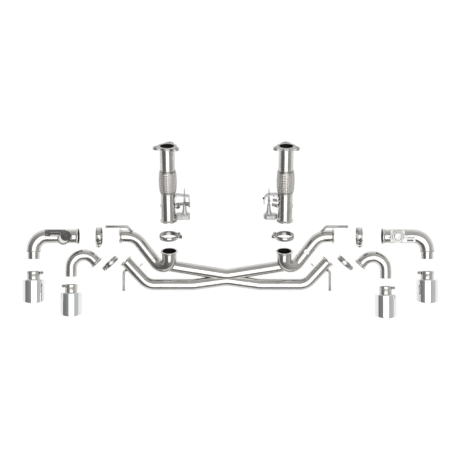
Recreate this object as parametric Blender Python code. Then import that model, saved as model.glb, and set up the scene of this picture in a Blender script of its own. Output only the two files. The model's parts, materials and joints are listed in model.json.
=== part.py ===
"""Racing exhaust system for a mid-engined car, laid out pulled apart as a kit, ready to be bolted together.

Axes: +X right, +Y towards the engine, +Z up. The origin lies midway between the two front hanger rods, on the
centre plane. Lengths are in millimetres up to the mesh builders, which turn them into metres.
"""

from math import ceil, cos, pi, radians, sin, tan, tau

import bmesh
import bpy
from mathutils import Vector

MM = 0.001
SIDES = {"left": -1, "right": 1}

# Tube sizes (outer radius) and walls
DOWNPIPE_R = 38.1
S_PIPE_R = 31.75
CROSSOVER_R = 30.15
ELBOW_R = 36.5
WALL = 2.0
FACETS = 12
BEND_STEP = radians(24)
SEAM = 0.3

# V-band flanges: rim radius of each size, thickness of the rim and length of its back taper
FLANGE_3_R = 45.0
FLANGE_25_R = 42.0
FLANGE_2_R = 36.5
RIM = 4.0
TAPER = 5.0

# Centre section, drawn in the plane of its tubes
INLET_X = 302.0
INLET_Y = -128.0
PITCH = radians(22)
COLLECTOR_CORNER_Y = -285.0
COLLECTOR_BEND = 50.0
COLLECTOR_LENGTH = 145.0
OUTLET_X = 567.0
OUTLET_Y = -51.0
S_CORNER_X = 487.0
S_BEND = 95.0
BRANCH_START = (338.0, -202.0)
BRANCH_END_X = 256.0
UPPER_CENTRE_Y = -255.0
LOWER_CENTRE_Y = -283.0
UPPER_Z = 6.0
LOWER_Z = -8.0
RUN_Y = -307.0
RUN_TURN_X = 175.0
RUN_SEAM_X = 350.0
INNER_FLANGE = (538.0, -180.0)
INNER_CORNER_X = 420.0
INNER_BEND = 85.0

# Hanger rods and braces
ROD_R = 6.35
ROD_BEND = 14.0
FRONT_ROD_END_X = 639.0
FRONT_ROD_CORNER_X = 524.0
FRONT_ROD_FOOT = (502.0, -26.0, 23.0)
FRONT_ROD_Z = 31.0
REAR_ROD_END_Y = -341.0
REAR_ROD_WELD = 40.0
REAR_ROD_STEP = 18.0
BRACE_R = 3.0
BRACE_FOOT = (470.0, -218.0)
BRACE_HEIGHT = 34.0

# Downpipe, measured along its own axis from the lower flange face
DOWNPIPE_PULL = 170.0
LOWER_TUBE_TOP = 160.0
BRAID_BOTTOM = 160.5
BRAID_TOP = 276.0
UPPER_TUBE_BOTTOM = 276.5
FRONT_FLANGE_BACK = 397.0
FRONT_FLANGE_FACE = 408.0
BRAID_R = 46.5
COLLAR_R = 41.0
PLATE_BODY_R = 50.0
PLATE_EAR_RISE = 25.0
PLATE_EAR_HALF = radians(34)
PLATE_BOLT_CIRCLE = 62.0
PLATE_BOLT_R = 5.5
PLATE_POINTS = 30
EAR_ANGLES = {"left": (40, 160, 280), "right": (30, 150, 270)}

# Actuators beside the downpipes: width inboard from the tube, and places along the downpipe
ACTUATOR_WIDTH = 73.0
PLATE_THICKNESS = 5.0
PLATE_DEPTH = 34.0
SPINDLE_OFFSET = 46.0
CAN_BOTTOM = 12.0
CAN_TOP = 40.0
CAN_DEPTH = 40.0

# Butterfly valves
VALVE_Y = 84.0
VALVE_X = {"left": 64.0, "right": 76.0}
SHAFT_R = 4.0
SHAFT_HOLE_R = 4.6
DISC_THICKNESS = 2.4
DISC_CLEARANCE = 1.6

# Outer elbows, J-bends and tips
ELBOW_PULL = {"left": 218.0, "right": 256.0}
ELBOW_LEG_X = 239.0
ELBOW_BEND = 74.0
ELBOW_SEAM_Y = -81.0
STUB_END_Y = -120.0
J_PLACE = {"left": (687.0, -194.0), "right": (704.0, -204.0)}
J_LEG_X = 138.0
J_CORNER_Y = 148.0
J_END_Y = -70.0
J_BEND = 68.0
J_AXIS = Vector((0.682, 0.731, 0))
OUTER_TIP_GAP = 65.0
INNER_TIP_GAP = 42.0
SLEEVE_LENGTH = 60.0
SLEEVE_SHOWN = 43.0
SLEEVE_WALL = 1.8
SLEEVE_CLEARANCE = 0.7
SLIT_LENGTH = 24.0
SLIT_WIDTH = 3.0
TIP_R = 57.15
TIP_FACETS = 20
TIP_LENGTH = 112.0
TIP_WALL = 3.0
TIP_LIP = 5.5
TIP_SLASH = 0.21
STRAP_WIDTH = 13.0
STRAP_THICKNESS = 1.6

# V-band clamps: radius of the lips, of the groove and of the strap, and width
CLAMPS = {
    3: {"lip": 46.3, "groove": 48.3, "strap": 50.3, "width": 22.0},
    25: {"lip": 43.3, "groove": 45.0, "strap": 47.0, "width": 28.0},
    2: {"lip": 37.7, "groove": 39.3, "strap": 41.2, "width": 24.0},
}
CLAMP_PULL = {"left": 110.0, "right": 135.0}
CLAMP_LIFTED = 83.0
INNER_CLAMP_PLACE = {"left": (612.0, -189.0), "right": (622.0, -187.0)}
CLAMP_FACETS = 14
CLAMP_GAP = radians(30)
LUG_HEIGHT = 17.0
LUG_THICKNESS = 7.0
BOLT_R = 3.5
BOLT_HOLE_R = 4.0
BOLT_LENGTH = 58.0


def clear_scene():
    for obj in list(bpy.data.objects):
        bpy.data.objects.remove(obj, do_unlink=True)


def material(name, colour, roughness, metallic=1.0):
    """A Principled material."""
    made = bpy.data.materials.new(name)
    made.use_nodes = True
    shader = made.node_tree.nodes["Principled BSDF"]
    shader.inputs["Base Color"].default_value = (*colour, 1)
    shader.inputs["Roughness"].default_value = roughness
    shader.inputs["Metallic"].default_value = metallic
    return made


def body(name, place, parent=None, pitch=0.0):
    """An empty on a moving body's joint, which its pieces hang from."""
    empty = bpy.data.objects.new(name, None)
    bpy.context.scene.collection.objects.link(empty)
    empty.parent = parent
    empty.location = Vector(place) * MM
    empty.rotation_euler.x = pitch
    return empty


def add_object(name, bm, parent, finish):
    """Turns a bmesh into a named object with smooth round faces."""
    bmesh.ops.recalc_face_normals(bm, faces=bm.faces)
    mesh = bpy.data.meshes.new(name)
    bm.to_mesh(mesh)
    bm.free()
    mesh.shade_smooth()
    mesh.set_sharp_from_angle(angle=radians(40))
    obj = bpy.data.objects.new(name, mesh)
    bpy.context.scene.collection.objects.link(obj)
    obj.parent = parent
    if finish:
        mesh.materials.append(finish)
    else:
        obj.hide_render = True
        obj.display_type = "WIRE"
    return obj


def combine(obj, helper, operation):
    """Cuts a helper out of an object, or joins it on."""
    modifier = obj.modifiers.new(f"{operation.lower()}_{helper.name}", "BOOLEAN")
    modifier.operation = operation
    modifier.solver = "EXACT"
    modifier.object = helper
    return obj


def across(axis):
    """Two directions square to an axis that isn't upright: level, and up."""
    level = axis.cross(Vector((0, 0, 1))).normalized()
    return level, level.cross(axis)


def circle(centre, axis, radius, facets=FACETS, slash=0.0):
    """Points round an axis. A slash cut carries the upper points further along it."""
    level, up = across(axis)
    points = []
    for i in range(facets):
        turn = tau * (i + 0.5) / facets
        height = radius * sin(turn)
        points.append(centre + level * radius * cos(turn) + up * height + axis * height * slash)
    return points


def hexagon(centre, axis, radius):
    """Twelve points on a hexagon, its corners and the middles of its sides."""
    level, up = across(axis)
    points = []
    for i in range(12):
        reach = radius if i % 2 else radius * cos(pi / 6)
        points.append(centre + (level * cos(i * pi / 6) + up * sin(i * pi / 6)) * reach)
    return points


def loft(rows, closed=False):
    """Skins rows of points into one solid: a ring of rows, or a run of rows with capped ends."""
    bm = bmesh.new()
    made = [[bm.verts.new(point * MM) for point in row] for row in rows]
    following = made[1:] + (made[:1] if closed else [])
    for row, after in zip(made, following):
        for i in range(len(row)):
            j = (i + 1) % len(row)
            bm.faces.new((row[i], row[j], after[j], after[i]))
    if not closed:
        bm.faces.new(made[0][::-1])
        bm.faces.new(made[-1])
    return bm


def bent_path(corners, bend):
    """Stations (point, direction) along straight runs joined by arcs of one bend radius."""
    points = [Vector(corner) for corner in corners]
    stations = [(points[0], (points[1] - points[0]).normalized())]
    for before, corner, after in zip(points, points[1:], points[2:]):
        come = (corner - before).normalized()
        leave = (after - corner).normalized()
        angle = come.angle(leave)
        start = corner - come * bend * tan(angle / 2)
        inward = (leave - come * come.dot(leave)).normalized()
        steps = max(2, ceil(angle / BEND_STEP))
        for i in range(steps + 1):
            turned = angle * i / steps
            point = start + come * bend * sin(turned) + inward * bend * (1 - cos(turned))
            stations.append((point, come * cos(turned) + inward * sin(turned)))
    stations.append((points[-1], (points[-1] - points[-2]).normalized()))
    return stations


def tube_rows(path, radius, start=((0, None),), end=((0, None),), facets=FACETS):
    """Rows of a tube's skin. start and end are (distance, radius) points, where None is the tube's radius."""
    first, ahead = path[0]
    last, onward = path[-1]
    rows = [circle(first + ahead * gone, ahead, size or radius, facets) for gone, size in start]
    rows += [circle(point, way, radius, facets) for point, way in path[1:-1]]
    rows += [circle(last - onward * left, onward, size or radius, facets) for left, size in reversed(end)]
    return rows


def v_flange(rim_radius):
    """Profile of a V-band flange at a tube's end: a rim that tapers back to the tube."""
    return ((0, rim_radius), (RIM, rim_radius), (RIM + TAPER, None))


def pipe(name, path, radius, parent, finish, start=((0, None),), end=((0, None),), wall=WALL):
    """A hollow tube along a path."""
    outside = tube_rows(path, radius, start, end)
    inside = tube_rows(path, radius - wall)
    return add_object(name, loft(outside + inside[::-1], closed=True), parent, finish)


def sweep(name, path, radius, parent, finish=None, start=((0, None),), end=((0, None),), facets=FACETS):
    """A solid bar along a path."""
    return add_object(name, loft(tube_rows(path, radius, start, end, facets)), parent, finish)


def bore_of(name, path, radius, parent):
    """A cutter along a path, running on past both of its ends."""
    run_on = ((-10, None),)
    return sweep(name, path, radius - WALL, parent, start=run_on, end=run_on)


def turned(name, profile, centre, axis, parent, finish, facets=FACETS):
    """A ring turned round an axis from a closed profile of (along, radius) points."""
    rows = [circle(centre + axis * along, axis, radius, facets) for along, radius in profile]
    return add_object(name, loft(rows, closed=True), parent, finish)


def bar(name, centre, axis, length, radius, parent, finish=None, facets=FACETS):
    """A straight round bar, centred on a point."""
    half = axis * length / 2
    rows = [circle(centre - half, axis, radius, facets), circle(centre + half, axis, radius, facets)]
    return add_object(name, loft(rows), parent, finish)


def block(name, centre, size, axes, parent, finish=None):
    """A box with its sides along three given directions."""
    length, width, height = (axis * extent / 2 for axis, extent in zip(axes, size))
    rows = []
    for end in (-1, 1):
        corners = ((-1, -1), (1, -1), (1, 1), (-1, 1))
        rows.append([centre + length * end + width * a + height * b for a, b in corners])
    return add_object(name, loft(rows), parent, finish)


def clamp(name, size, place, axis, bolt_angle, parent_body):
    """A V-band clamp sprung open: a split band with two lugs, and the bolt that draws them together."""
    form = CLAMPS[size]
    half = form["width"] / 2
    groove_half = half - 5
    profile = [
        (form["strap"], -half),
        (form["strap"], half),
        (form["lip"], half),
        (form["groove"], groove_half),
        (form["groove"], -groove_half),
        (form["lip"], -half),
    ]
    level, up = across(axis)

    def outward(angle):
        return level * cos(angle) + up * sin(angle)

    rows = []
    for i in range(CLAMP_FACETS + 1):
        angle = bolt_angle + CLAMP_GAP / 2 + (tau - CLAMP_GAP) * i / CLAMP_FACETS
        rows.append([outward(angle) * radius + axis * along for radius, along in profile])
    moving = body(f"{name}_body", place, parent_body)
    band = add_object(f"{name}_band", loft(rows), moving, STAINLESS)
    out = outward(bolt_angle)
    along_bolt = outward(bolt_angle + pi / 2)
    lug_reach = form["groove"] * sin(CLAMP_GAP / 2) + LUG_THICKNESS / 2 - 1.0
    lug_foot = form["groove"] * cos(CLAMP_GAP / 2)
    for end in (-1, 1):
        centre = out * (lug_foot + LUG_HEIGHT / 2 + 1.5) + along_bolt * lug_reach * end
        size_of_lug = (LUG_THICKNESS, form["width"] * 0.8, LUG_HEIGHT)
        lug = block(f"{name}_lug{end}", centre, size_of_lug, (along_bolt, axis, out), moving)
        combine(band, lug, "UNION")
    bolt_centre = out * (lug_foot + LUG_HEIGHT * 0.6 + 1.5)
    hole = bar(f"{name}_bolt_hole", bolt_centre, along_bolt, 90, BOLT_HOLE_R, moving, facets=12)
    combine(band, hole, "DIFFERENCE")
    t_bolt(f"{name}_t_bolt", bolt_centre, along_bolt, lug_reach + LUG_THICKNESS / 2 + 0.4, moving)
    return moving


def t_bolt(name, centre, axis, nut_face, parent):
    """A bolt with a round T-head at one end and a hexagon nut on its thread at the other."""
    head_end = -nut_face - 6
    rows = [
        circle(centre + axis * head_end, axis, 6.2, 12),
        circle(centre - axis * nut_face, axis, 6.2, 12),
        circle(centre - axis * nut_face, axis, BOLT_R, 12),
        circle(centre + axis * nut_face, axis, BOLT_R, 12),
        hexagon(centre + axis * nut_face, axis, 7.5),
        hexagon(centre + axis * (nut_face + 7), axis, 7.5),
        circle(centre + axis * (nut_face + 7), axis, BOLT_R, 12),
        circle(centre + axis * (head_end + BOLT_LENGTH), axis, BOLT_R, 12),
    ]
    add_object(name, loft(rows), parent, BOLT_STEEL)


def butterfly(name, pivot, shaft_axis, flow_axis, disc_radius, ends, parent_body):
    """A valve disc that lies along the flow when open, on a shaft whose ends are measured from the pivot."""
    moving = body(f"{name}_body", pivot, parent_body)
    low, high = ends
    centre = shaft_axis * (low + high) / 2
    shaft = bar(name, centre, shaft_axis_safe(shaft_axis), high - low, SHAFT_R, moving, DARK_STEEL, 12)
    normal = shaft_axis.cross(flow_axis)
    rows = []
    for end in (-1, 1):
        row = []
        for i in range(FACETS):
            angle = tau * i / FACETS
            spread = shaft_axis * cos(angle) + flow_axis * sin(angle)
            row.append(spread * disc_radius + normal * DISC_THICKNESS / 2 * end)
        rows.append(row)
    combine(shaft, add_object(f"{name}_disc", loft(rows), moving, None), "UNION")
    return moving


def shaft_axis_safe(axis):
    """The same axis, leant over by a hair when it is upright, so that circles round it are defined."""
    if abs(axis.z) < 0.999:
        return axis
    return Vector((1e-6, 0, axis.z)).normalized()


def inlet_of(sign):
    """The centre of a collector's inlet, and the direction its downpipe rises in."""
    height = (INLET_Y - COLLECTOR_CORNER_Y) * tan(PITCH)
    return Vector((sign * INLET_X, INLET_Y, height)), Vector((0, cos(PITCH), sin(PITCH)))


def make_collector(side, sign, root):
    """The inlet elbow of one side, with the branch to the crossover welded into its foot."""
    inlet, _ = inlet_of(sign)
    corner = Vector((sign * INLET_X, COLLECTOR_CORNER_Y, 0))
    outlet = corner + s_direction(sign) * COLLECTOR_LENGTH
    path = bent_path((inlet, corner, outlet), COLLECTOR_BEND)
    branch_start = Vector((sign * BRANCH_START[0], BRANCH_START[1], UPPER_Z))
    branch_end = branch_point(sign, BRANCH_END_X)
    branch_path = bent_path((branch_start, branch_end), 0)
    name = f"collector_{side}"
    last = len(path) - 1
    outer_rows = []
    bore_rows = []
    for i, (point, way) in enumerate(path):
        radius = DOWNPIPE_R + (S_PIPE_R - DOWNPIPE_R) * max(0, i - 1) / (last - 1)
        if i == 0:
            for gone, size in v_flange(FLANGE_3_R):
                outer_rows.append(circle(point + way * gone, way, size or DOWNPIPE_R))
            bore_rows.append(circle(point - way * 10, way, radius - WALL))
            continue
        outer_rows.append(circle(point, way, radius))
        bore_rows.append(circle(point + way * (10 if i == last else 0), way, radius - WALL))
    collector = add_object(name, loft(outer_rows), root, STAINLESS)
    bore = add_object(f"{name}_bore", loft(bore_rows), root, None)
    branch = sweep(f"{name}_branch", branch_path, CROSSOVER_R, root)
    branch_bore = sweep(f"{name}_branch_bore", branch_path, CROSSOVER_R - WALL, root, end=((-10, None),))
    combine(collector, branch, "UNION")
    combine(collector, bore, "DIFFERENCE")
    combine(collector, branch_bore, "DIFFERENCE")


def s_direction(sign):
    """Direction of the S-pipe's slanted run, away from the collector."""
    reach = Vector((sign * (S_CORNER_X - INLET_X), OUTLET_Y - COLLECTOR_CORNER_Y, 0))
    return reach.normalized()


def branch_point(sign, x):
    """A point on the upper crossover's centre line between the collector's foot and the centre."""
    start = Vector((sign * BRANCH_START[0], BRANCH_START[1], UPPER_Z))
    centre = Vector((0, UPPER_CENTRE_Y, UPPER_Z))
    return start.lerp(centre, 1 - x / BRANCH_START[0])


def make_s_pipe(side, sign, root):
    corner = Vector((sign * INLET_X, COLLECTOR_CORNER_Y, 0))
    start = corner + s_direction(sign) * (COLLECTOR_LENGTH + SEAM)
    bend = Vector((sign * S_CORNER_X, OUTLET_Y, 0))
    outlet = Vector((sign * OUTLET_X, OUTLET_Y, 0))
    path = bent_path((start, bend, outlet), S_BEND)
    pipe(f"s_pipe_{side}", path, S_PIPE_R, root, STAINLESS, end=v_flange(FLANGE_25_R))


def make_crossover(root):
    """The crossover: a V from foot to foot and the rear run, merged in an X at the centre."""
    seams = [branch_point(sign, BRANCH_END_X - SEAM) for sign in (-1, 1)]
    upper = bent_path((seams[0], (0, UPPER_CENTRE_Y, UPPER_Z), seams[1]), 120)
    turns = [(-RUN_SEAM_X, RUN_Y, 0), (-RUN_TURN_X, RUN_Y, 0), (0, LOWER_CENTRE_Y, LOWER_Z)]
    turns += [(RUN_TURN_X, RUN_Y, 0), (RUN_SEAM_X, RUN_Y, 0)]
    lower = bent_path(turns, 150)
    crossover = sweep("crossover", upper, CROSSOVER_R, root, STAINLESS)
    combine(crossover, sweep("crossover_run", lower, CROSSOVER_R, root), "UNION")
    combine(crossover, bore_of("crossover_upper_bore", upper, CROSSOVER_R, root), "DIFFERENCE")
    combine(crossover, bore_of("crossover_lower_bore", lower, CROSSOVER_R, root), "DIFFERENCE")


def make_inner_pipe(side, sign, root):
    """The pipe from the crossover's run to the inner V-band joint, with the brace on its inner side."""
    start = Vector((sign * (RUN_SEAM_X + SEAM), RUN_Y, 0))
    corner = Vector((sign * INNER_CORNER_X, RUN_Y, 0))
    outlet = Vector((sign * INNER_FLANGE[0], INNER_FLANGE[1], 0))
    path = bent_path((start, corner, outlet), INNER_BEND)
    name = f"inner_pipe_{side}"
    inner_pipe = sweep(name, path, CROSSOVER_R, root, STAINLESS, end=v_flange(FLANGE_2_R))
    inwards = Vector((-sign * J_AXIS.y, J_AXIS.x, 0))
    foot = Vector((sign * (BRACE_FOOT[0] + 8), BRACE_FOOT[1] - 8, 0))
    middle = foot + inwards * BRACE_HEIGHT / 2
    brace = bar(f"{name}_brace", middle, inwards, BRACE_HEIGHT + 20, BRACE_R, root, None, 10)
    combine(inner_pipe, brace, "UNION")
    combine(inner_pipe, bore_of(f"{name}_bore", path, CROSSOVER_R, root), "DIFFERENCE")


def make_hangers(side, sign, root):
    """The two rods of one side that the car's rubber hangers hold."""
    foot = Vector((sign * FRONT_ROD_FOOT[0], *FRONT_ROD_FOOT[1:]))
    corner = Vector((sign * FRONT_ROD_CORNER_X, 0, FRONT_ROD_Z))
    end = Vector((sign * FRONT_ROD_END_X, 0, FRONT_ROD_Z))
    front = bent_path((foot, corner, end), ROD_BEND)
    head = ((0, ROD_R + 1), (8, ROD_R + 1), (8, None))
    sweep(f"hanger_front_{side}", front, ROD_R, root, ROD_STEEL, end=head, facets=12)
    flange = Vector((sign * INNER_FLANGE[0], INNER_FLANGE[1], 0))
    outwards = Vector((sign * J_AXIS.y, -J_AXIS.x, 0))
    weld = flange - Vector((sign * J_AXIS.x, J_AXIS.y, 0)) * REAR_ROD_WELD
    foot = weld + outwards * (CROSSOVER_R + SEAM)
    corner = foot + outwards * REAR_ROD_STEP
    rear = bent_path((foot, corner, (corner.x, REAR_ROD_END_Y, 0)), ROD_BEND)
    sweep(f"hanger_rear_{side}", rear, ROD_R, root, ROD_STEEL, end=head, facets=12)


def front_plate(name, angles, parent):
    """The three-eared plate that bolts to the turbocharger, with its bore and bolt holes."""
    axis = Vector((0, 1, 0))
    rows = []
    for along in (FRONT_FLANGE_BACK, FRONT_FLANGE_FACE):
        row = []
        for i in range(PLATE_POINTS):
            angle = tau * i / PLATE_POINTS
            off = min(abs((angle - radians(ear) + pi) % tau - pi) for ear in angles)
            rise = cos(min(off / PLATE_EAR_HALF, 1) * pi / 2) ** 1.3 if off < PLATE_EAR_HALF else 0
            reach = PLATE_BODY_R + PLATE_EAR_RISE * rise
            row.append(Vector((reach * cos(angle), along, reach * sin(angle))))
        rows.append(row)
    plate = add_object(name, loft(rows), parent, STAINLESS)
    middle = axis * (FRONT_FLANGE_BACK + FRONT_FLANGE_FACE) / 2
    combine(plate, bar(f"{name}_bore", middle, axis, 40, DOWNPIPE_R - WALL, parent), "DIFFERENCE")
    for ear in angles:
        hole_at = middle + Vector((cos(radians(ear)), 0, sin(radians(ear)))) * PLATE_BOLT_CIRCLE
        hole = bar(f"{name}_hole_{ear}", hole_at, axis, 40, PLATE_BOLT_R, parent, facets=12)
        combine(plate, hole, "DIFFERENCE")


def make_downpipe(side, sign, root):
    """A downpipe with its flexible coupling, throttle valve and actuator, on its clamp's axis."""
    inlet, axis = inlet_of(sign)
    downpipe = body(f"downpipe_{side}_body", inlet + axis * DOWNPIPE_PULL, root, PITCH)
    along = Vector((0, 1, 0))
    collar = ((0, COLLAR_R), (9, COLLAR_R), (12, None))

    lower_path = bent_path(((0, 0, 0), (0, LOWER_TUBE_TOP, 0)), 0)
    lower = pipe(
        f"lower_tube_{side}", lower_path, DOWNPIPE_R, downpipe, STAINLESS, v_flange(FLANGE_3_R), collar
    )
    upper_path = bent_path(((0, UPPER_TUBE_BOTTOM, 0), (0, FRONT_FLANGE_BACK - SEAM, 0)), 0)
    pipe(f"upper_tube_{side}", upper_path, DOWNPIPE_R, downpipe, STAINLESS, collar)
    front_plate(f"front_flange_{side}", EAR_ANGLES[side], downpipe)

    length = BRAID_TOP - BRAID_BOTTOM
    barrel = []
    for i in range(7):
        share = i / 6
        swell = (BRAID_R - COLLAR_R) * sin(pi * share) ** 0.35
        barrel.append((BRAID_BOTTOM + length * share, COLLAR_R + swell))
    bore = [(BRAID_TOP, DOWNPIPE_R - WALL), (BRAID_BOTTOM, DOWNPIPE_R - WALL)]
    turned(f"flex_braid_{side}", barrel + bore, Vector((0, 0, 0)), along, downpipe, BRAID)

    inboard = Vector((-sign, 0, 0))
    pivot = along * VALVE_Y
    shaft_hole = bar(f"lower_tube_{side}_shaft_hole", pivot, inboard, 110, SHAFT_HOLE_R, downpipe, facets=12)
    combine(lower, shaft_hole, "DIFFERENCE")
    disc_radius = DOWNPIPE_R - WALL - DISC_CLEARANCE
    ends = (-DOWNPIPE_R - 3, DOWNPIPE_R + 17)
    butterfly(f"throttle_{side}", pivot, inboard, along, disc_radius, ends, downpipe)
    make_actuator(side, inboard, along, downpipe)


def make_actuator(side, inboard, along, downpipe):
    """The actuator beside the lower tube: a bracket with a pointed spindle, over a can with a neck."""
    up = Vector((0, 0, 1))
    axes = (inboard, along, up)
    start = DOWNPIPE_R + 0.4
    middle = inboard * (start + ACTUATOR_WIDTH / 2)
    top_size = (ACTUATOR_WIDTH, PLATE_THICKNESS, PLATE_DEPTH)
    bracket = block(f"actuator_bracket_{side}", middle + along * 140, top_size, axes, downpipe, ALUMINIUM)
    web_at = inboard * (start + ACTUATOR_WIDTH - PLATE_THICKNESS / 2) + along * 120
    web_size = (PLATE_THICKNESS, 44, PLATE_DEPTH)
    web = block(f"bracket_{side}_web", web_at, web_size, axes, downpipe)
    spindle_at = inboard * (start + SPINDLE_OFFSET)
    spindle = ((66, 6), (80, 6), (126, 4.5), (182, 1.2))
    rows = [circle(spindle_at + along * at, along, radius, 12) for at, radius in spindle]
    spindle_bar = add_object(f"bracket_{side}_spindle", loft(rows), downpipe, None)
    for piece in (web, spindle_bar):
        combine(bracket, piece, "UNION")
    can_size = (ACTUATOR_WIDTH - 1, CAN_TOP - CAN_BOTTOM, CAN_DEPTH)
    can_at = middle + along * (CAN_TOP + CAN_BOTTOM) / 2
    can = block(f"actuator_can_{side}", can_at, can_size, axes, downpipe, ALUMINIUM)
    profile = ((CAN_TOP - 10, 17), (CAN_TOP + 1, 17), (52, 12), (65.5, 9))
    rows = [circle(spindle_at + along * at, along, radius) for at, radius in profile]
    combine(can, add_object(f"can_{side}_neck", loft(rows), downpipe, None), "UNION")


def make_outer_elbow(side, sign, root):
    """An outer elbow with its shut-off valve: returns its body."""
    out = Vector((sign, 0, 0))
    place = Vector((sign * (OUTLET_X + ELBOW_PULL[side]), OUTLET_Y, 0))
    elbow_body = body(f"outer_elbow_{side}_body", place, root)
    path = bent_path(((0, 0, 0), out * ELBOW_LEG_X, (sign * ELBOW_LEG_X, STUB_END_Y, 0)), ELBOW_BEND)
    step = abs(STUB_END_Y - ELBOW_SEAM_Y)
    end = ((0, S_PIPE_R), (step - 2, S_PIPE_R), (step, None))
    name = f"outer_elbow_{side}"
    skin = loft(tube_rows(path, ELBOW_R, v_flange(FLANGE_25_R), end))
    elbow = add_object(name, skin, elbow_body, STAINLESS)
    bore_end = ((-10, S_PIPE_R - WALL), (step + 2, S_PIPE_R - WALL), (step + 5, None))
    bore_rows = tube_rows(path, ELBOW_R - WALL, ((-10, None),), bore_end)
    combine(elbow, add_object(f"{name}_bore", loft(bore_rows), elbow_body, None), "DIFFERENCE")

    up = Vector((0, 0, 1))
    pivot = out * VALVE_X[side]
    upright = shaft_axis_safe(up)
    hole = bar(f"{name}_shaft_hole", pivot, upright, 100, SHAFT_HOLE_R, elbow_body, facets=12)
    combine(elbow, hole, "DIFFERENCE")
    disc_radius = ELBOW_R - WALL - DISC_CLEARANCE
    butterfly(f"shut_off_{side}", pivot, up, out, disc_radius, (-ELBOW_R - 3, ELBOW_R + 6), elbow_body)
    make_valve_housing(side, pivot, elbow_body)
    return elbow_body


def make_valve_housing(side, pivot, elbow_body):
    """The bracket over the valve shaft and the actuator housing on it. One part fits both sides."""
    arm_way = Vector((-1 if side == "left" else 1, 0, 0))
    width_way = Vector((0, 1 if side == "left" else -1, 0))
    up = Vector((0, 0, 1))
    upright = shaft_axis_safe(up)
    base = pivot + up * (ELBOW_R + 0.6)
    axes = (arm_way, width_way, up)
    bracket = bar(f"valve_bracket_{side}", base + up * 6, upright, 11, 28, elbow_body, ALUMINIUM, FACETS)
    arm_centre = base + up * 8.5 + arm_way * 62 + width_way * 22
    arm = block(f"valve_bracket_{side}_arm", arm_centre, (92, 22, 6), axes, elbow_body)
    combine(bracket, arm, "UNION")
    pocket = bar(f"valve_bracket_{side}_pocket", base, upright, 40, SHAFT_R + 3, elbow_body, facets=12)
    combine(bracket, pocket, "DIFFERENCE")
    foot = base + up * 12
    profile = ((0, 36), (3, 36), (4, 30), (14, 29), (17, 26), (17, 19), (13, 18), (13, 7), (15, 6))
    rows = [circle(foot + up * at, upright, radius, FACETS) for at, radius in profile]
    add_object(f"valve_housing_{side}", loft(rows), elbow_body, ALUMINIUM)


def make_j_bend(side, sign, root):
    """A J-bend: returns its body."""
    x, y = J_PLACE[side]
    j_body = body(f"j_bend_{side}_body", (sign * x, y, 0), root)
    corners = ((0, 0, 0), (sign * J_LEG_X, J_CORNER_Y, 0), (sign * J_LEG_X, J_END_Y, 0))
    path = bent_path(corners, J_BEND)
    pipe(f"j_bend_{side}", path, CROSSOVER_R, j_body, STAINLESS, v_flange(FLANGE_2_R))
    return j_body


def make_tip(name, tube_radius, place, sign, parent_body):
    """A slash-cut tip: its polished shell, the slit sleeve that slips over the pipe, and its strap."""
    tip_body = body(f"{name}_body", place, parent_body)
    back = Vector((0, -1, 0))
    centre = Vector((0, 0, 0))
    bore = tube_radius + SLEEVE_CLEARANCE
    sleeve_r = bore + SLEEVE_WALL
    sleeve = turned(
        f"{name}_sleeve",
        ((0, sleeve_r), (SLEEVE_LENGTH, sleeve_r), (SLEEVE_LENGTH, bore), (0, bore)),
        centre,
        back,
        tip_body,
        STAINLESS,
    )
    for i, direction in enumerate((Vector((0, 0, 1)), Vector((1, 0, 0)))):
        across_slit = direction.cross(back)
        size = (2 * sleeve_r + 10, SLIT_LENGTH * 2, SLIT_WIDTH)
        slit = block(f"{name}_slit{i}", centre, size, (direction, back, across_slit), tip_body)
        combine(sleeve, slit, "DIFFERENCE")

    hole = (sleeve_r + SEAM) / cos(pi / TIP_FACETS)
    outside = [(SLEEVE_SHOWN, TIP_R - 4), (SLEEVE_SHOWN + 3, TIP_R - 0.8), (SLEEVE_SHOWN + 6, TIP_R)]
    inside = [(SLEEVE_SHOWN + TIP_WALL + 3, TIP_R - TIP_WALL), (SLEEVE_SHOWN + TIP_WALL, TIP_R - 10)]
    rows = [circle(back * SLEEVE_SHOWN, back, hole, TIP_FACETS)]
    rows += [circle(back * at, back, radius, TIP_FACETS) for at, radius in outside]
    mouth = SLEEVE_SHOWN + TIP_LENGTH
    lip = [(mouth - 3, TIP_R), (mouth, TIP_R - 1.5)]
    lip += [(mouth, TIP_R - TIP_LIP + 1), (mouth - 3, TIP_R - TIP_LIP)]
    rows += [circle(back * at, back, radius, TIP_FACETS, TIP_SLASH) for at, radius in lip]
    rows += [circle(back * (mouth - 10), back, TIP_R - TIP_WALL, TIP_FACETS, TIP_SLASH)]
    rows += [circle(back * at, back, radius, TIP_FACETS) for at, radius in inside]
    rows += [circle(back * (SLEEVE_SHOWN + TIP_WALL), back, hole, TIP_FACETS)]
    add_object(f"{name}_shell", loft(rows, closed=True), tip_body, CHROME)

    strap_in = sleeve_r + SEAM
    strap_out = strap_in + STRAP_THICKNESS
    strap_from = 2.0
    strap_to = strap_from + STRAP_WIDTH
    strap = turned(
        f"{name}_strap",
        ((strap_from, strap_out), (strap_to, strap_out), (strap_to, strap_in), (strap_from, strap_in)),
        centre,
        back,
        tip_body,
        BOLT_STEEL,
    )
    beside = Vector((sign, 0, 0))
    up = Vector((0, 0, 1))
    ear_at = beside * (strap_out + 5) + back * (strap_from + STRAP_WIDTH / 2)
    ear = block(f"{name}_ear", ear_at, (14, STRAP_WIDTH - 2, 16), (beside, back, up), tip_body)
    screw_at = beside * (strap_out + 7) + back * (strap_from + STRAP_WIDTH / 2)
    upright = shaft_axis_safe(up)
    spans = ((-20, 6.5), (-12, 6.5), (-12, 3.5), (16, 3.5), (18, 2.5))
    rows = [circle(screw_at + up * at, upright, radius, 12) for at, radius in spans]
    screw = add_object(f"{name}_screw", loft(rows), tip_body, None)
    combine(strap, ear, "UNION")
    combine(strap, screw, "UNION")


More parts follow.
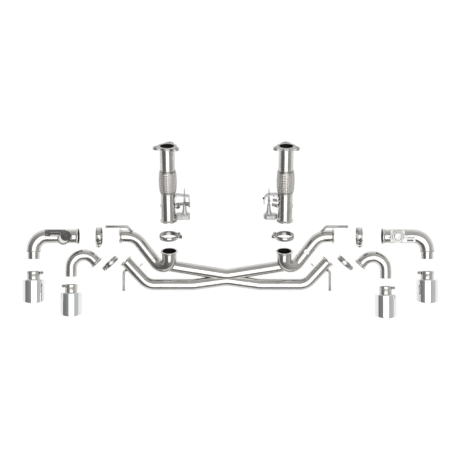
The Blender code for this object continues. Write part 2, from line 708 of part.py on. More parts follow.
def make_joints_of(side, sign, root):
    """The three clamps of one side, where they lie between the pulled-apart pieces."""
    inlet, axis = inlet_of(sign)
    towards_centre = 0 if side == "left" else pi
    clamp(f"downpipe_clamp_{side}", 3, inlet + axis * CLAMP_LIFTED, axis, towards_centre + sign * 0.25, root)
    outward = Vector((1, 0, 0))
    outlet = Vector((sign * (OUTLET_X + CLAMP_PULL[side]), OUTLET_Y, 0))
    clamp(f"outer_clamp_{side}", 25, outlet, outward, radians(45), root)
    x, y = INNER_CLAMP_PLACE[side]
    slanted = Vector((sign * J_AXIS.x, J_AXIS.y, 0))
    bolt_side = pi if side == "left" else 0
    clamp(f"inner_clamp_{side}", 2, Vector((sign * x, y, 0)), slanted, bolt_side, root)


clear_scene()
STAINLESS = material("stainless", (0.62, 0.61, 0.59), 0.28)
CHROME = material("polished_chrome", (0.82, 0.83, 0.83), 0.06)
BRAID = material("woven_braid", (0.55, 0.53, 0.50), 0.45)
ALUMINIUM = material("cast_aluminium", (0.80, 0.80, 0.79), 0.38)
ROD_STEEL = material("rod_steel", (0.55, 0.55, 0.54), 0.35)
BOLT_STEEL = material("bolt_steel", (0.35, 0.34, 0.33), 0.35)
DARK_STEEL = material("valve_steel", (0.28, 0.27, 0.26), 0.45)

centre_section = body("centre_section_body", (0, 0, 0))
make_crossover(centre_section)
for side_name, side_sign in SIDES.items():
    make_collector(side_name, side_sign, centre_section)
    make_s_pipe(side_name, side_sign, centre_section)
    make_inner_pipe(side_name, side_sign, centre_section)
    make_hangers(side_name, side_sign, centre_section)
    make_downpipe(side_name, side_sign, centre_section)
    make_joints_of(side_name, side_sign, centre_section)
    elbow_part = make_outer_elbow(side_name, side_sign, centre_section)
    outer_tip = (side_sign * ELBOW_LEG_X, STUB_END_Y - OUTER_TIP_GAP, 0)
    make_tip(f"outer_tip_{side_name}", S_PIPE_R, outer_tip, -side_sign, elbow_part)
    j_part = make_j_bend(side_name, side_sign, centre_section)
    inner_tip = (side_sign * J_LEG_X, J_END_Y - INNER_TIP_GAP, 0)
    make_tip(f"inner_tip_{side_name}", CROSSOVER_R, inner_tip, side_sign, j_part)
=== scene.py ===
"""Looks of the racing exhaust system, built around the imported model. Lengths are in mm up to the meshes."""

import json
from math import cos, pi, radians, sin, tan, tau

import bmesh
import bpy
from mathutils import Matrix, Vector


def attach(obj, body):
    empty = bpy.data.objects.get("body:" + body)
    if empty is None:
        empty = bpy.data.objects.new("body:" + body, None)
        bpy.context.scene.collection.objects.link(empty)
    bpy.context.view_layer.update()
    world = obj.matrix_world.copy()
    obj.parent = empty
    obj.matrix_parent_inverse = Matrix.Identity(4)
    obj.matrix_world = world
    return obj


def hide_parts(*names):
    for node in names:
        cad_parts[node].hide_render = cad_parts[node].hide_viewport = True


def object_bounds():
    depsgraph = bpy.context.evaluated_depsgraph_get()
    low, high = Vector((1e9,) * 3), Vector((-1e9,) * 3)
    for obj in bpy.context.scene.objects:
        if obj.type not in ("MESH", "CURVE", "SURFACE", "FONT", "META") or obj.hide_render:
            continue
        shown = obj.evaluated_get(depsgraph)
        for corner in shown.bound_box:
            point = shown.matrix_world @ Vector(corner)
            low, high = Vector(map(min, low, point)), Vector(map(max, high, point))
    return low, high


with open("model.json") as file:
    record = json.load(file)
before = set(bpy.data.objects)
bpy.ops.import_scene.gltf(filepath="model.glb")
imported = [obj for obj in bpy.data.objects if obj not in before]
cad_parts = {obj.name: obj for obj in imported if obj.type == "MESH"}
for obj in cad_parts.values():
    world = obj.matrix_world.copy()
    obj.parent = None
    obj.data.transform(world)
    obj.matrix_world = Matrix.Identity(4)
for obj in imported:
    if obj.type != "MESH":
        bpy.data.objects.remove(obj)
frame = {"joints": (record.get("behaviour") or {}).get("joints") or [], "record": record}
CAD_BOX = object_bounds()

MM = 0.001
SIDES = {"left": -1, "right": 1}
ACROSS, FORWARD, UP = Vector((1, 0, 0)), Vector((0, 1, 0)), Vector((0, 0, 1))
PITCH = radians(22)
RISING = Vector((0, cos(PITCH), sin(PITCH)))
FINE = 64
BEND_STEP = radians(4)

# Tubes, flanges and joints, as in the CAD
DOWNPIPE_R = 38.1
S_PIPE_R = 31.75
CROSSOVER_R = 30.15
ELBOW_R = 36.5
WALL = 2.0
FLANGE_3_R = 45.0
FLANGE_25_R = 42.0
FLANGE_2_R = 36.5
SEAM = 0.3
TIP_R = 57.15
RIM_WELD = 10.5
INNER_JOINT_WAY = (0.682, 0.731)
COLLECTOR_CORNER = (302.0, -285.0)
COLLECTOR_RUN = 145.0

# Along a downpipe: its gap to the collector at rest, then lengths up from its lower rim
DOWNPIPE_GAP = 170.0
THROTTLE_ALONG = 84.0
DOWNPIPE_TUBES = {"lower_tube": (0.0, 160.0), "upper_tube": (276.5, 396.7)}
BRAID_SPAN = (160.5, 276.0)
BRAID_R = 45.0
PLATE_ALONG = 397.0

# Places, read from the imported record
OPENINGS = {}
for opening in frame["record"]["physics"]["openings"]:
    low_corner, high_corner = opening["box_m"]
    OPENINGS[opening["name"]] = (Vector(low_corner) + Vector(high_corner)) / 2 / MM
PIVOTS = {j["name"]: Vector(j["pos_m"]) / MM for j in frame["joints"] if j["type"] == "hinge"}


# Mesh building

def across(axis):
    """Two directions square to an axis: level and up, or along X and Y where the axis is upright."""
    if abs(axis.z) > 0.999:
        return Vector(ACROSS), Vector(FORWARD) * (1 if axis.z > 0 else -1)
    level = axis.cross(UP).normalized()
    return level, level.cross(axis)


def circle(centre, axis, radius, facets=FINE, slash=0.0):
    """Points round an axis. A slash leans the circle, as on a cut tip."""
    level, up = across(axis)
    points = []
    for i in range(facets):
        turn = tau * i / facets
        height = radius * sin(turn)
        points.append(centre + level * radius * cos(turn) + up * height + axis * height * slash)
    return points


class Route:
    """A centre line of straight runs and arcs of one bend radius."""

    def __init__(self, corners, bend=0.0):
        """Rounds every corner but the first and last."""
        points = [Vector(corner) for corner in corners]
        self.points = [points[0]]
        self.ways = [(points[1] - points[0]).normalized()]
        for before, corner, after in zip(points, points[1:], points[2:]):
            come = (corner - before).normalized()
            leave = (after - corner).normalized()
            angle = come.angle(leave)
            start = corner - come * bend * tan(angle / 2)
            inward = (leave - come * come.dot(leave)).normalized()
            steps = max(2, round(angle / BEND_STEP))
            for i in range(steps + 1):
                turned = angle * i / steps
                self.points.append(start + come * bend * sin(turned) + inward * bend * (1 - cos(turned)))
                self.ways.append(come * cos(turned) + inward * sin(turned))
        self.points.append(points[-1])
        self.ways.append((points[-1] - points[-2]).normalized())
        self.lengths = [0.0]
        for a, b in zip(self.points, self.points[1:]):
            self.lengths.append(self.lengths[-1] + (b - a).length)
        self.length = self.lengths[-1]

    def at(self, along):
        """The point and direction at a length along the route, running straight on past its ends."""
        if along <= 0:
            return self.points[0] + self.ways[0] * along, self.ways[0]
        if along >= self.length:
            return self.points[-1] + self.ways[-1] * (along - self.length), self.ways[-1]
        i = max(k for k, reached in enumerate(self.lengths) if reached <= along)
        span = self.lengths[i + 1] - self.lengths[i]
        share = (along - self.lengths[i]) / span if span > 1e-9 else 0.0
        way = self.ways[i].lerp(self.ways[i + 1], share).normalized()
        return self.points[i].lerp(self.points[i + 1], share), way

    def rows(self, profile, facets=FINE):
        """Circles for a profile of (length, radius) points, and at each bend point between them."""
        stops = []
        for (s0, r0), (s1, r1) in zip(profile, profile[1:]):
            stops.append((s0, r0))
            for reached in self.lengths:
                if s0 + 0.4 < reached < s1 - 0.4:
                    stops.append((reached, r0 + (r1 - r0) * (reached - s0) / (s1 - s0)))
        stops.append(profile[-1])
        made = []
        for along, radius in stops:
            point, way = self.at(along)
            made.append(circle(point, way, radius, facets))
        return made


class Shape:
    """Gathers skins into one mesh. Its UVs are in metres: u round a skin, v along it."""

    def __init__(self):
        self.points, self.faces, self.uvs, self.finishes = [], [], [], []

    def skin(self, rows, finish=0, loop=False, caps=(True, True), closed=True):
        """Skins rows of points: a loop of rows closes on itself, and caps close the ends of a run."""
        first = len(self.points)
        size = len(rows[0])
        self.points += [point * MM for row in rows for point in row]
        girth = [0.0]
        for i in range(size):
            girth.append(girth[-1] + (rows[0][(i + 1) % size] - rows[0][i]).length * MM)
        reach = [0.0]
        for row, after in zip(rows, rows[1:] + rows[:1]):
            reach.append(reach[-1] + (after[0] - row[0]).length * MM)
        for k in range(len(rows) if loop else len(rows) - 1):
            here, there = first + k * size, first + (k + 1) % len(rows) * size
            for i in range(size if closed else size - 1):
                j = (i + 1) % size
                self.faces.append((here + i, here + j, there + j, there + i))
                near, far, low, high = girth[i], girth[i + 1], reach[k], reach[k + 1]
                self.uvs.append(((near, low), (far, low), (far, high), (near, high)))
                self.finishes.append(finish)
        if not loop:
            last = first + (len(rows) - 1) * size
            if caps[0]:
                self.face([first + i for i in reversed(range(size))], finish)
            if caps[1]:
                self.face([last + i for i in range(size)], finish)
        return self

    def face(self, corners, finish):
        """One flat face over points already in the shape."""
        self.faces.append(tuple(corners))
        self.uvs.append(tuple((self.points[c].x, self.points[c].y) for c in corners))
        self.finishes.append(finish)

    def add(self, other):
        """Takes in another shape."""
        first = len(self.points)
        self.points += other.points
        self.faces += [tuple(first + c for c in face) for face in other.faces]
        self.uvs += other.uvs
        self.finishes += other.finishes
        return self

    def mesh(self, name, finishes, sharp=32.0):
        """The shape as a mesh. Edges past the sharp angle, in degrees, stay sharp."""
        mesh = bpy.data.meshes.new(name)
        mesh.from_pydata(self.points, [], self.faces)
        layer = mesh.uv_layers.new(name="UVMap")
        flat = [value for face in self.uvs for pair in face for value in pair]
        layer.data.foreach_set("uv", flat)
        for finish in finishes:
            mesh.materials.append(finish)
        mesh.polygons.foreach_set("material_index", [min(f, len(finishes) - 1) for f in self.finishes])
        bm = bmesh.new()
        bm.from_mesh(mesh)
        bmesh.ops.recalc_face_normals(bm, faces=bm.faces)
        bm.to_mesh(mesh)
        bm.free()
        mesh.shade_smooth()
        mesh.set_sharp_from_angle(angle=radians(sharp))
        return mesh

    def made(self, name, body, slot, finishes, nodes=(), sharp=32.0):
        """The finished piece, riding on its body."""
        obj = bpy.data.objects.new(name, self.mesh(name, finishes, sharp))
        bpy.context.scene.collection.objects.link(obj)
        return settle(obj, body, nodes)


def settle(obj, body, nodes=()):
    """Puts an object on its body and the nodes that it replaces."""
    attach(obj, body)
    if nodes:
        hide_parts(*nodes)
    return obj


def helper(shape, finishes):
    """A shape as a bare object, for carve()."""
    obj = bpy.data.objects.new("helper", shape.mesh("helper", finishes))
    bpy.context.scene.collection.objects.link(obj)
    return obj


def carve(shape, steps, finishes, sharp=32.0):
    """Applies EXACT Booleans, each (operation, shape), and returns the mesh."""
    target = helper(shape, finishes)
    cutters = []
    for operation, other in steps:
        cutter = helper(other, finishes)
        cutters.append(cutter)
        modifier = target.modifiers.new(operation, "BOOLEAN")
        modifier.operation = operation
        modifier.solver = "EXACT"
        modifier.object = cutter
    bpy.context.view_layer.update()
    evaluated = target.evaluated_get(bpy.context.evaluated_depsgraph_get())
    mesh = bpy.data.meshes.new_from_object(evaluated)
    for obj in [target, *cutters]:
        bpy.data.objects.remove(obj, do_unlink=True)
    mesh.shade_smooth()
    mesh.set_sharp_from_angle(angle=radians(sharp))
    return mesh


def piece(mesh, name, body, nodes=()):
    """A carved mesh as a finished piece."""
    mesh.name = name
    obj = bpy.data.objects.new(name, mesh)
    bpy.context.scene.collection.objects.link(obj)
    return settle(obj, body, nodes)


def bar(centre, axis, spans, facets=32, finish=0):
    """A solid turned bar from (along, radius) points."""
    rows = [circle(centre + axis * along, axis, radius, facets) for along, radius in spans]
    return Shape().skin(rows, finish)


def ring(centre, axis, spans, facets=FINE, finish=0):
    """A turned ring from a closed profile of (along, radius) points."""
    rows = [circle(centre + axis * along, axis, radius, facets) for along, radius in spans]
    return Shape().skin(rows, finish, loop=True)


def rod(route, radius, facets=20, ends=((0, -0.8), (0.8, 0)), finish=0):
    """A round rod along a route with chamfered ends."""
    start = [(along, radius + less) for along, less in ends]
    stop = [(route.length - along, radius + less) for along, less in reversed(ends)]
    return Shape().skin(route.rows(start + stop, facets), finish)


def slab(centre, axes, size, edge=1.0, finish=0, corner=3.0):
    """A plate with rounded corners and chamfered edges. The last axis is its thickness."""
    along, wide, thick = axes
    rows = []
    for height, less in ((-0.5, edge), (-0.5 + edge / size[2], 0), (0.5 - edge / size[2], 0), (0.5, edge)):
        rows.append([
            centre + along * a + wide * b + thick * size[2] * height
            for a, b in rounded(size[0] / 2 - less, size[1] / 2 - less, max(corner - less, 0.2))
        ])
    return Shape().skin(rows, finish)


def rounded(half_a, half_b, corner, steps=5):
    """Corner points of a rounded rectangle."""
    corner = min(corner, half_a * 0.98, half_b * 0.98)
    points = []
    for quarter, (a, b) in enumerate(((1, 1), (-1, 1), (-1, -1), (1, -1))):
        for i in range(steps + 1):
            turn = pi / 2 * (quarter + i / steps)
            out_a, out_b = corner * cos(turn), corner * sin(turn)
            points.append((a * (half_a - corner) + out_a, b * (half_b - corner) + out_b))
    return points


def hexagon(centre, axis, radius, height, finish=0):
    """A chamfered hexagon nut or bolt head."""
    level, up = across(axis)
    rows = []
    for along, reach in ((0, 1.0), (0.78, 1.0), (1, 0.9)):
        row = []
        for i in range(24):
            turn = tau * i / 24
            side = cos(pi / 6) / cos((turn + pi / 6) % (pi / 3) - pi / 6)
            size = radius * (side if reach == 1.0 else min(side, reach))
            row.append(centre + axis * height * along + (level * cos(turn) + up * sin(turn)) * size)
        rows.append(row)
    return Shape().skin(rows, finish)


def weld(centre, axis, radius, width=4.6, height=1.3, ripples=84, finish=0):
    """A rippled weld bead round a tube."""
    level, up = across(axis)
    loop = []
    for i in range(ripples * 2):
        turn = tau * i / (ripples * 2)
        out = level * cos(turn) + up * sin(turn)
        loop.append((centre + out * radius, out, axis))
    return bead(loop, width, height, finish)


def bead(loop, width=4.6, height=1.3, finish=0, closed=True):
    """A weld bead along points given as (point, outward direction, direction across the bead)."""
    rows = []
    for i, (point, out, side) in enumerate(loop):
        swell = 0.78 + 0.22 * (i % 2)
        row = []
        for k in range(7):
            turn = pi * k / 6
            row.append(point + side * cos(turn) * width / 2 + out * (sin(turn) * height * swell - 0.25))
        row.append(point - side * width * 0.3 - out * 0.9)
        row.append(point + side * width * 0.3 - out * 0.9)
        rows.append(row)
    return Shape().skin(rows, finish, loop=closed)


# Materials

def nodes_of(name):
    """A new material with its node list, its links and its shader."""
    made = bpy.data.materials.new(name)
    made.use_nodes = True
    tree = made.node_tree
    return made, tree.nodes, tree.links, tree.nodes["Principled BSDF"]


def noise_on(nodes, links, source, scale, detail=3.0, stretch=(1, 1, 1)):
    """A noise texture's value, stretched along the axes of a coordinate output."""
    mapping = nodes.new("ShaderNodeMapping")
    mapping.inputs["Scale"].default_value = stretch
    links.new(source, mapping.inputs["Vector"])
    noise = nodes.new("ShaderNodeTexNoise")
    noise.inputs["Scale"].default_value = scale
    noise.inputs["Detail"].default_value = detail
    links.new(mapping.outputs["Vector"], noise.inputs["Vector"])
    return noise.outputs["Fac"]


def spread(nodes, links, source, low, high):
    """Maps the useful middle of a noise to a range."""
    mapped = nodes.new("ShaderNodeMapRange")
    mapped.inputs["From Min"].default_value = 0.3
    mapped.inputs["From Max"].default_value = 0.7
    mapped.inputs["To Min"].default_value = low
    mapped.inputs["To Max"].default_value = high
    links.new(source, mapped.inputs["Value"])
    return mapped.outputs["Result"]


def mottled(nodes, links, shader, clouds, dark, light):
    """Colours a shader between two tones by a noise."""
    tone = nodes.new("ShaderNodeMix")
    tone.data_type = "RGBA"
    tone.inputs["A"].default_value = (*dark, 1)
    tone.inputs["B"].default_value = (*light, 1)
    links.new(spread(nodes, links, clouds, 0.0, 1.0), tone.inputs["Factor"])
    links.new(tone.outputs["Result"], shader.inputs["Base Color"])


def bumped(nodes, links, shader, source, strength, depth):
    """Bumps a shader by a noise, to a depth in metres."""
    height = nodes.new("ShaderNodeBump")
    height.inputs["Strength"].default_value = strength
    height.inputs["Distance"].default_value = depth
    links.new(source, height.inputs["Height"])
    links.new(height.outputs["Normal"], shader.inputs["Normal"])


def metal(name, dark, light, roughness, grain=(900, 14), bump=0.03, mottle=18.0, rough_spread=0.04):
    """A metal with fine streaks along its UVs, and a slow change of tone and polish."""
    made, nodes, links, shader = nodes_of(name)
    coords = nodes.new("ShaderNodeTexCoord")
    streaks = noise_on(nodes, links, coords.outputs["UV"], 1.0, 2.0, (*grain, 1))
    clouds = noise_on(nodes, links, coords.outputs["Object"], mottle, 4.0)
    mottled(nodes, links, shader, clouds, dark, light)
    both = nodes.new("ShaderNodeMath")
    both.operation = "ADD"
    low, high = roughness - rough_spread / 2, roughness + rough_spread / 2
    links.new(spread(nodes, links, streaks, -rough_spread, rough_spread), both.inputs[0])
    links.new(spread(nodes, links, clouds, low, high), both.inputs[1])
    links.new(both.outputs[0], shader.inputs["Roughness"])
    bumped(nodes, links, shader, streaks, bump, 0.0004)
    shader.inputs["Metallic"].default_value = 1.0
    return made


def grainy(name, dark, light, roughness, metallic, grain=900.0):
    """A cast or coated surface with an even grain."""
    made, nodes, links, shader = nodes_of(name)
    coords = nodes.new("ShaderNodeTexCoord")
    fine = noise_on(nodes, links, coords.outputs["Object"], grain, 2.0)
    clouds = noise_on(nodes, links, coords.outputs["Object"], 40.0, 3.0)
    mottled(nodes, links, shader, clouds, dark, light)
    links.new(spread(nodes, links, fine, roughness - 0.06, roughness + 0.06), shader.inputs["Roughness"])
    bumped(nodes, links, shader, fine, 0.25, 0.0003)
    shader.inputs["Metallic"].default_value = metallic
    return made


STEEL = metal("satin_stainless", (0.55, 0.54, 0.52), (0.64, 0.63, 0.61), 0.15)
RIM_STEEL = metal("machined_stainless", (0.58, 0.57, 0.55), (0.70, 0.69, 0.67), 0.22, (14, 2600), 0.1)
FLANGE = metal("flange_plate", (0.36, 0.355, 0.345), (0.48, 0.475, 0.46), 0.34, (220, 220), 0.03, 60.0)
CLAMP = metal("clamp_steel", (0.33, 0.325, 0.315), (0.46, 0.455, 0.44), 0.26, (40, 1500), 0.05)
STRAP = metal("strap_steel", (0.52, 0.51, 0.49), (0.64, 0.63, 0.61), 0.24)
ROD = metal("rod_steel", (0.38, 0.375, 0.365), (0.50, 0.495, 0.48), 0.34)
BOLT = metal("dark_zinc", (0.17, 0.165, 0.155), (0.27, 0.26, 0.245), 0.34, (500, 500), 0.03, 120.0)
VALVE = metal("valve_steel", (0.14, 0.13, 0.12), (0.24, 0.225, 0.21), 0.42, mottle=60.0)
WELD = metal("weld_bead", (0.42, 0.39, 0.35), (0.62, 0.58, 0.52), 0.3, (300, 300), 0.12, 90.0)
CHROME = metal("polished_chrome", (0.79, 0.8, 0.805), (0.83, 0.835, 0.84), 0.05, (900, 14), 0.01, 18.0, 0.015)
TIP_INSIDE = metal("tip_inner_wall", (0.30, 0.30, 0.295), (0.42, 0.42, 0.41), 0.3, mottle=30.0)
BRAID = metal("braid_wire", (0.62, 0.60, 0.575), (0.80, 0.78, 0.755), 0.38, (1500, 60), 0.2, 160.0)
# A darker copy of the braid wire for the crossing ribbons: painted shade, for the light and dark diamonds of
# the weave.
BRAID_SHADED = metal("braid_wire_cross_painted_shade", (0.46, 0.44, 0.42), (0.62, 0.60, 0.57), 0.42, (1500, 60), 0.2, 160.0)
# The liner shows only in the gaps of the weave; its near-black tone is painted shade between the wires.
SHADED_LINER = metal("braid_liner", (0.10, 0.095, 0.09), (0.18, 0.17, 0.16), 0.5)
CAST = grainy("cast_aluminium", (0.42, 0.42, 0.415), (0.58, 0.58, 0.57), 0.36, 0.7)
BRIGHT_CAST = grainy("bright_cast_aluminium", (0.60, 0.60, 0.595), (0.74, 0.74, 0.73), 0.36, 0.6)
PLATE = grainy("phosphated_plate", (0.085, 0.083, 0.08), (0.15, 0.147, 0.142), 0.46, 0.8, 700.0)
# Near-black painted shade for bores, hole walls and slits, where shade falls inside the metal.
PAINTED_SHADE = grainy("painted_shade_inside", (0.006, 0.006, 0.006), (0.016, 0.015, 0.014), 0.62, 0.25)


# Pipes

def skin_of(start, end, radius):
    """The outside profile of a plain pipe, chamfered at both ends."""
    return [(start, radius - 0.4), (start + 0.6, radius), (end - 0.6, radius), (end, radius - 0.4)]


def bore_of(start, end, radius):
    """The inside profile of a plain pipe, chamfered at both ends."""
    inside = radius - WALL
    return [(start, inside + 0.7), (start + 1, inside), (end - 1, inside), (end, inside + 0.7)]


def pipe_shape(route, outer, inner):
    """A hollow pipe from its outside and inside profiles. The inside takes the near-black painted shade."""
    outside = route.rows(outer)
    inside = route.rows(inner)
    shape = Shape()
    shape.skin(outside, 0, caps=(False, False))
    shape.skin(inside[::-1], 1, caps=(False, False))
    shape.skin([inside[0], outside[0]], 0, caps=(False, False))
    shape.skin([outside[-1], inside[-1]], 0, caps=(False, False))
    return merged(shape)


def merged(shape):
    """The same shape with its coinciding points made one."""
    index, kept, moved = {}, [], []
    for point in shape.points:
        key = (round(point.x, 7), round(point.y, 7), round(point.z, 7))
        if key not in index:
            index[key] = len(kept)
            kept.append(point)
        moved.append(index[key])
    shape.points = kept
    shape.faces = [tuple(moved[c] for c in face) for face in shape.faces]
    return shape


def rim_ring(route, rim, radius, at_end=False):
    """A V-band rim as its own turned ring, so that its machined finish stops at its weld."""
    point, way = route.at(route.length if at_end else 0.0)
    spans = [(0, rim - 2.2), (0.5, rim - 0.5), (1.2, rim), (4, rim), (4.6, rim - 0.8), (9, radius + 0.9)]
    spans += [(9, radius - 0.6), (0, radius - 0.6)]
    return ring(point, way * (-1 if at_end else 1), spans)


def make_pipe(name, route, radius, body, node, rim, at_end):
    """A pipe with a rim at one end. The rim and its weld are separate pieces."""
    end = route.length
    shape = pipe_shape(route, skin_of(0, end, radius), bore_of(0, end, radius))
    shape.made(name, body, "stainless", [STEEL, PAINTED_SHADE], [node])
    rim_ring(route, rim, radius, at_end).made(f"{name}_rim", body, "stainless", [RIM_STEEL])
    point, way = route.at(end - RIM_WELD if at_end else RIM_WELD)
    weld(point, way, radius + 0.1).made(f"{name}_welds", body, "stainless", [WELD], sharp=60)


def nearest(points, target):
    """The distance from a target to the nearest of the points."""
    return min((point - target).length for point in points)


def saddle(branch, radius, host_points, host_radius):
    """Where a branch pipe's skin meets a host pipe: points with outward and crosswise directions."""
    loop = []
    start, way = branch.at(0)
    level, up = across(way)
    steps = 120
    for i in range(steps):
        turn = tau * i / steps
        out = level * cos(turn) + up * sin(turn)
        edge = start + out * radius
        low, high = 0.0, branch.length
        for _ in range(22):
            middle = (low + high) / 2
            if nearest(host_points, edge + way * middle) < host_radius:
                low = middle
            else:
                high = middle
        point = edge + way * low
        away = (point - min(host_points, key=lambda host: (host - point).length)).normalized()
        normal = (out + away).normalized()
        loop.append((point, normal, (way - normal * way.dot(normal)).normalized()))
    return loop


def make_centre_section():
    """The welded body: crossover, collectors, S-pipes, inner pipes and hanger rods."""
    body = "centre_section"
    upper = Route([(-338, -202, 6), (0, -255, 6), (338, -202, 6)], 120)
    lower = Route([(-349.8, -307, 0), (-175, -307, 0), (0, -283, -8), (175, -307, 0), (349.8, -307, 0)], 150)
    tube_upper = Shape().skin(upper.rows([(40, CROSSOVER_R), (upper.length - 40, CROSSOVER_R)]))
    tube_lower = Shape().skin(lower.rows([(0, CROSSOVER_R), (lower.length, CROSSOVER_R)]))
    mesh = carve(tube_upper, [("UNION", tube_lower)], [STEEL, PAINTED_SHADE], sharp=50)
    piece(mesh, "crossover_tubes", body, ["crossover"])
    beads = Shape()
    for end in (lower.points[0], lower.points[-1]):
        beads.add(weld(end, ACROSS, CROSSOVER_R, height=0.6, finish=1))
    lower_points = dense(lower, 3.0)
    for height_sign in (-1, 1):
        beads.add(merge_seam(upper, lower_points, height_sign))
    beads.made("crossover_welds", body, "stainless", [WELD, STEEL], sharp=60)
    for side, sign in SIDES.items():
        make_collector(side, sign, body)
        make_side_pipes(side, sign, body)


def dense(route, step):
    """Points along a route at an even step."""
    return [route.at(i * step)[0] for i in range(int(route.length / step) + 1)]


def merge_seam(upper, lower_points, height_sign):
    """The bead along the line where the two crossover tubes meet, above or below."""
    loop = []
    steps, seam_length = 150, 250
    for i in range(steps):
        along = upper.length / 2 + (i / (steps - 1) - 0.5) * seam_length
        point, way = upper.at(along)
        level, up = across(way)
        low, high = 0.0, pi / 2
        for _ in range(20):
            middle = (low + high) / 2
            out = level * cos(middle) + up * sin(middle) * height_sign
            if nearest(lower_points, point + out * CROSSOVER_R) < CROSSOVER_R:
                low = middle
            else:
                high = middle
        out = level * cos(low) + up * sin(low) * height_sign
        if 0.02 < low < pi / 2 - 0.02:
            outward = (out + UP * height_sign).normalized()
            loop.append((point + out * CROSSOVER_R, outward, way.cross(out).normalized()))
    return bead(loop, 3.6, 0.7, closed=False)


def make_collector(side, sign, body):
    """The inlet elbow that runs into the S-pipe, and the crossover's branch welded to its foot."""
    throttle = PIVOTS[f"throttle_{side}_turn"]
    inlet = throttle - RISING * (THROTTLE_ALONG + DOWNPIPE_GAP)
    corner = Vector((inlet.x, COLLECTOR_CORNER[1], 0))
    route = Route([inlet, corner, corner + s_pipe_slant(sign) * COLLECTOR_RUN], 50)
    taper, end = 60.0, route.length
    bore = DOWNPIPE_R - WALL
    outer = [(0, DOWNPIPE_R), (taper, DOWNPIPE_R), (end - 10, S_PIPE_R), (end, S_PIPE_R)]
    inner = [(0, bore + 0.7), (1, bore), (taper, bore), (end, S_PIPE_R - WALL)]
    shape = pipe_shape(route, outer, inner)
    shape.made(f"collector_{side}_tube", body, "stainless", [STEEL, PAINTED_SHADE], [f"collector_{side}"])
    rim_ring(route, FLANGE_3_R, DOWNPIPE_R).made(f"collector_{side}_rim", body, "stainless", [RIM_STEEL])
    point, way = route.at(RIM_WELD)
    beads = weld(point, way, DOWNPIPE_R + 0.1)
    point, way = route.at(end)
    beads.add(weld(point, way, S_PIPE_R, height=1.0))
    start = Vector((sign * 338.0, -202.0, 6.0))
    centre = Vector((0, -255.0, 6.0))
    way = (centre - start).normalized()
    branch = Route([start, start.lerp(centre, 1 - 250 / 338.0)])
    loop = saddle(branch, CROSSOVER_R, dense(route, 4.0), (DOWNPIPE_R + S_PIPE_R) / 2 + 1.0)
    rows = [[point - way * 1.5 for point, _, _ in loop]]
    for share in (0.97, 1.0):
        rows.append(circle(start + way * (branch.length * share), way, CROSSOVER_R, len(loop)))
    beads.add(bead(loop, 4.2, 1.1))
    beads.made(f"collector_{side}_welds", body, "stainless", [WELD], sharp=60)
    Shape().skin(rows, caps=(False, True)).made(f"branch_{side}", body, "stainless", [STEEL, PAINTED_SHADE])


def s_pipe_slant(sign):
    """The direction of the S-pipe's slanted run."""
    return Vector((sign * 185.0, 234.0, 0)).normalized()


def make_side_pipes(side, sign, body):
    """The S-pipe and inner pipe of one side, with the brace and the two hanger rods."""
    corner = Vector((sign * COLLECTOR_CORNER[0], COLLECTOR_CORNER[1], 0))
    start = corner + s_pipe_slant(sign) * (COLLECTOR_RUN + SEAM)
    s_route = Route([start, (sign * 487.0, -51, 0), (sign * 567.0, -51, 0)], 95)
    make_pipe(f"s_pipe_{side}_tube", s_route, S_PIPE_R, body, f"s_pipe_{side}", FLANGE_25_R, True)
    if side == "right":
        # A low round pad shaped as a plugged boss; its near-white tone is a painted highlight of the bend.
        pad = bar(Vector((421.0, -134.0, 0)), UP, ((26, 15), (32.2, 15), (32.8, 14.2)), 48)
        pad.made("s_pipe_right_highlight_pad", body, "stainless", [BRIGHT_CAST])
    flange = Vector((sign * 538.0, -180.0, 0))
    inner = Route([(sign * 350.3, -307, 0), (sign * 420.0, -307, 0), flange], 85)
    make_pipe(f"inner_pipe_{side}_tube", inner, CROSSOVER_R, body, f"inner_pipe_{side}", FLANGE_2_R, True)
    lean, rise = INNER_JOINT_WAY
    slanted = Vector((sign * lean, rise, 0))
    inwards = Vector((-sign * rise, lean, 0))
    foot = Vector((sign * 478.0, -226.0, 0))
    brace = Route([foot + inwards * 24, foot + inwards * 44])
    rod(brace, 3.0, 12).made(f"brace_{side}", body, "rod_steel", [ROD])
    front = Route([(sign * 502.0, -26.0, 23.0), (sign * 524.0, 0, 31.0), (sign * 639.0, 0, 31.0)], 14)
    foot = flange - slanted * 40.0 - inwards * (CROSSOVER_R + SEAM)
    bend = foot - inwards * 18.0
    rear = Route([foot, bend, (bend.x, -341.0, 0)], 14)
    for name, route in (("front", front), ("rear", rear)):
        shape = rod(route, 6.35, 24)
        end, way = route.at(route.length)
        shape.add(bar(end, way, ((-9, 6.4), (-8.4, 7.35), (-1.2, 7.35), (0, 6.3)), 24))
        start, way = route.at(0)
        shape.add(bar(start, way, ((-1.0, 11), (0.4, 10.5), (2.2, 8.4), (4.5, 6.6)), 24, 1))
        shape.made(f"hanger_{name}_{side}_rod", body, "rod_steel", [ROD, WELD], [f"hanger_{name}_{side}"], 60)


# Downpipes

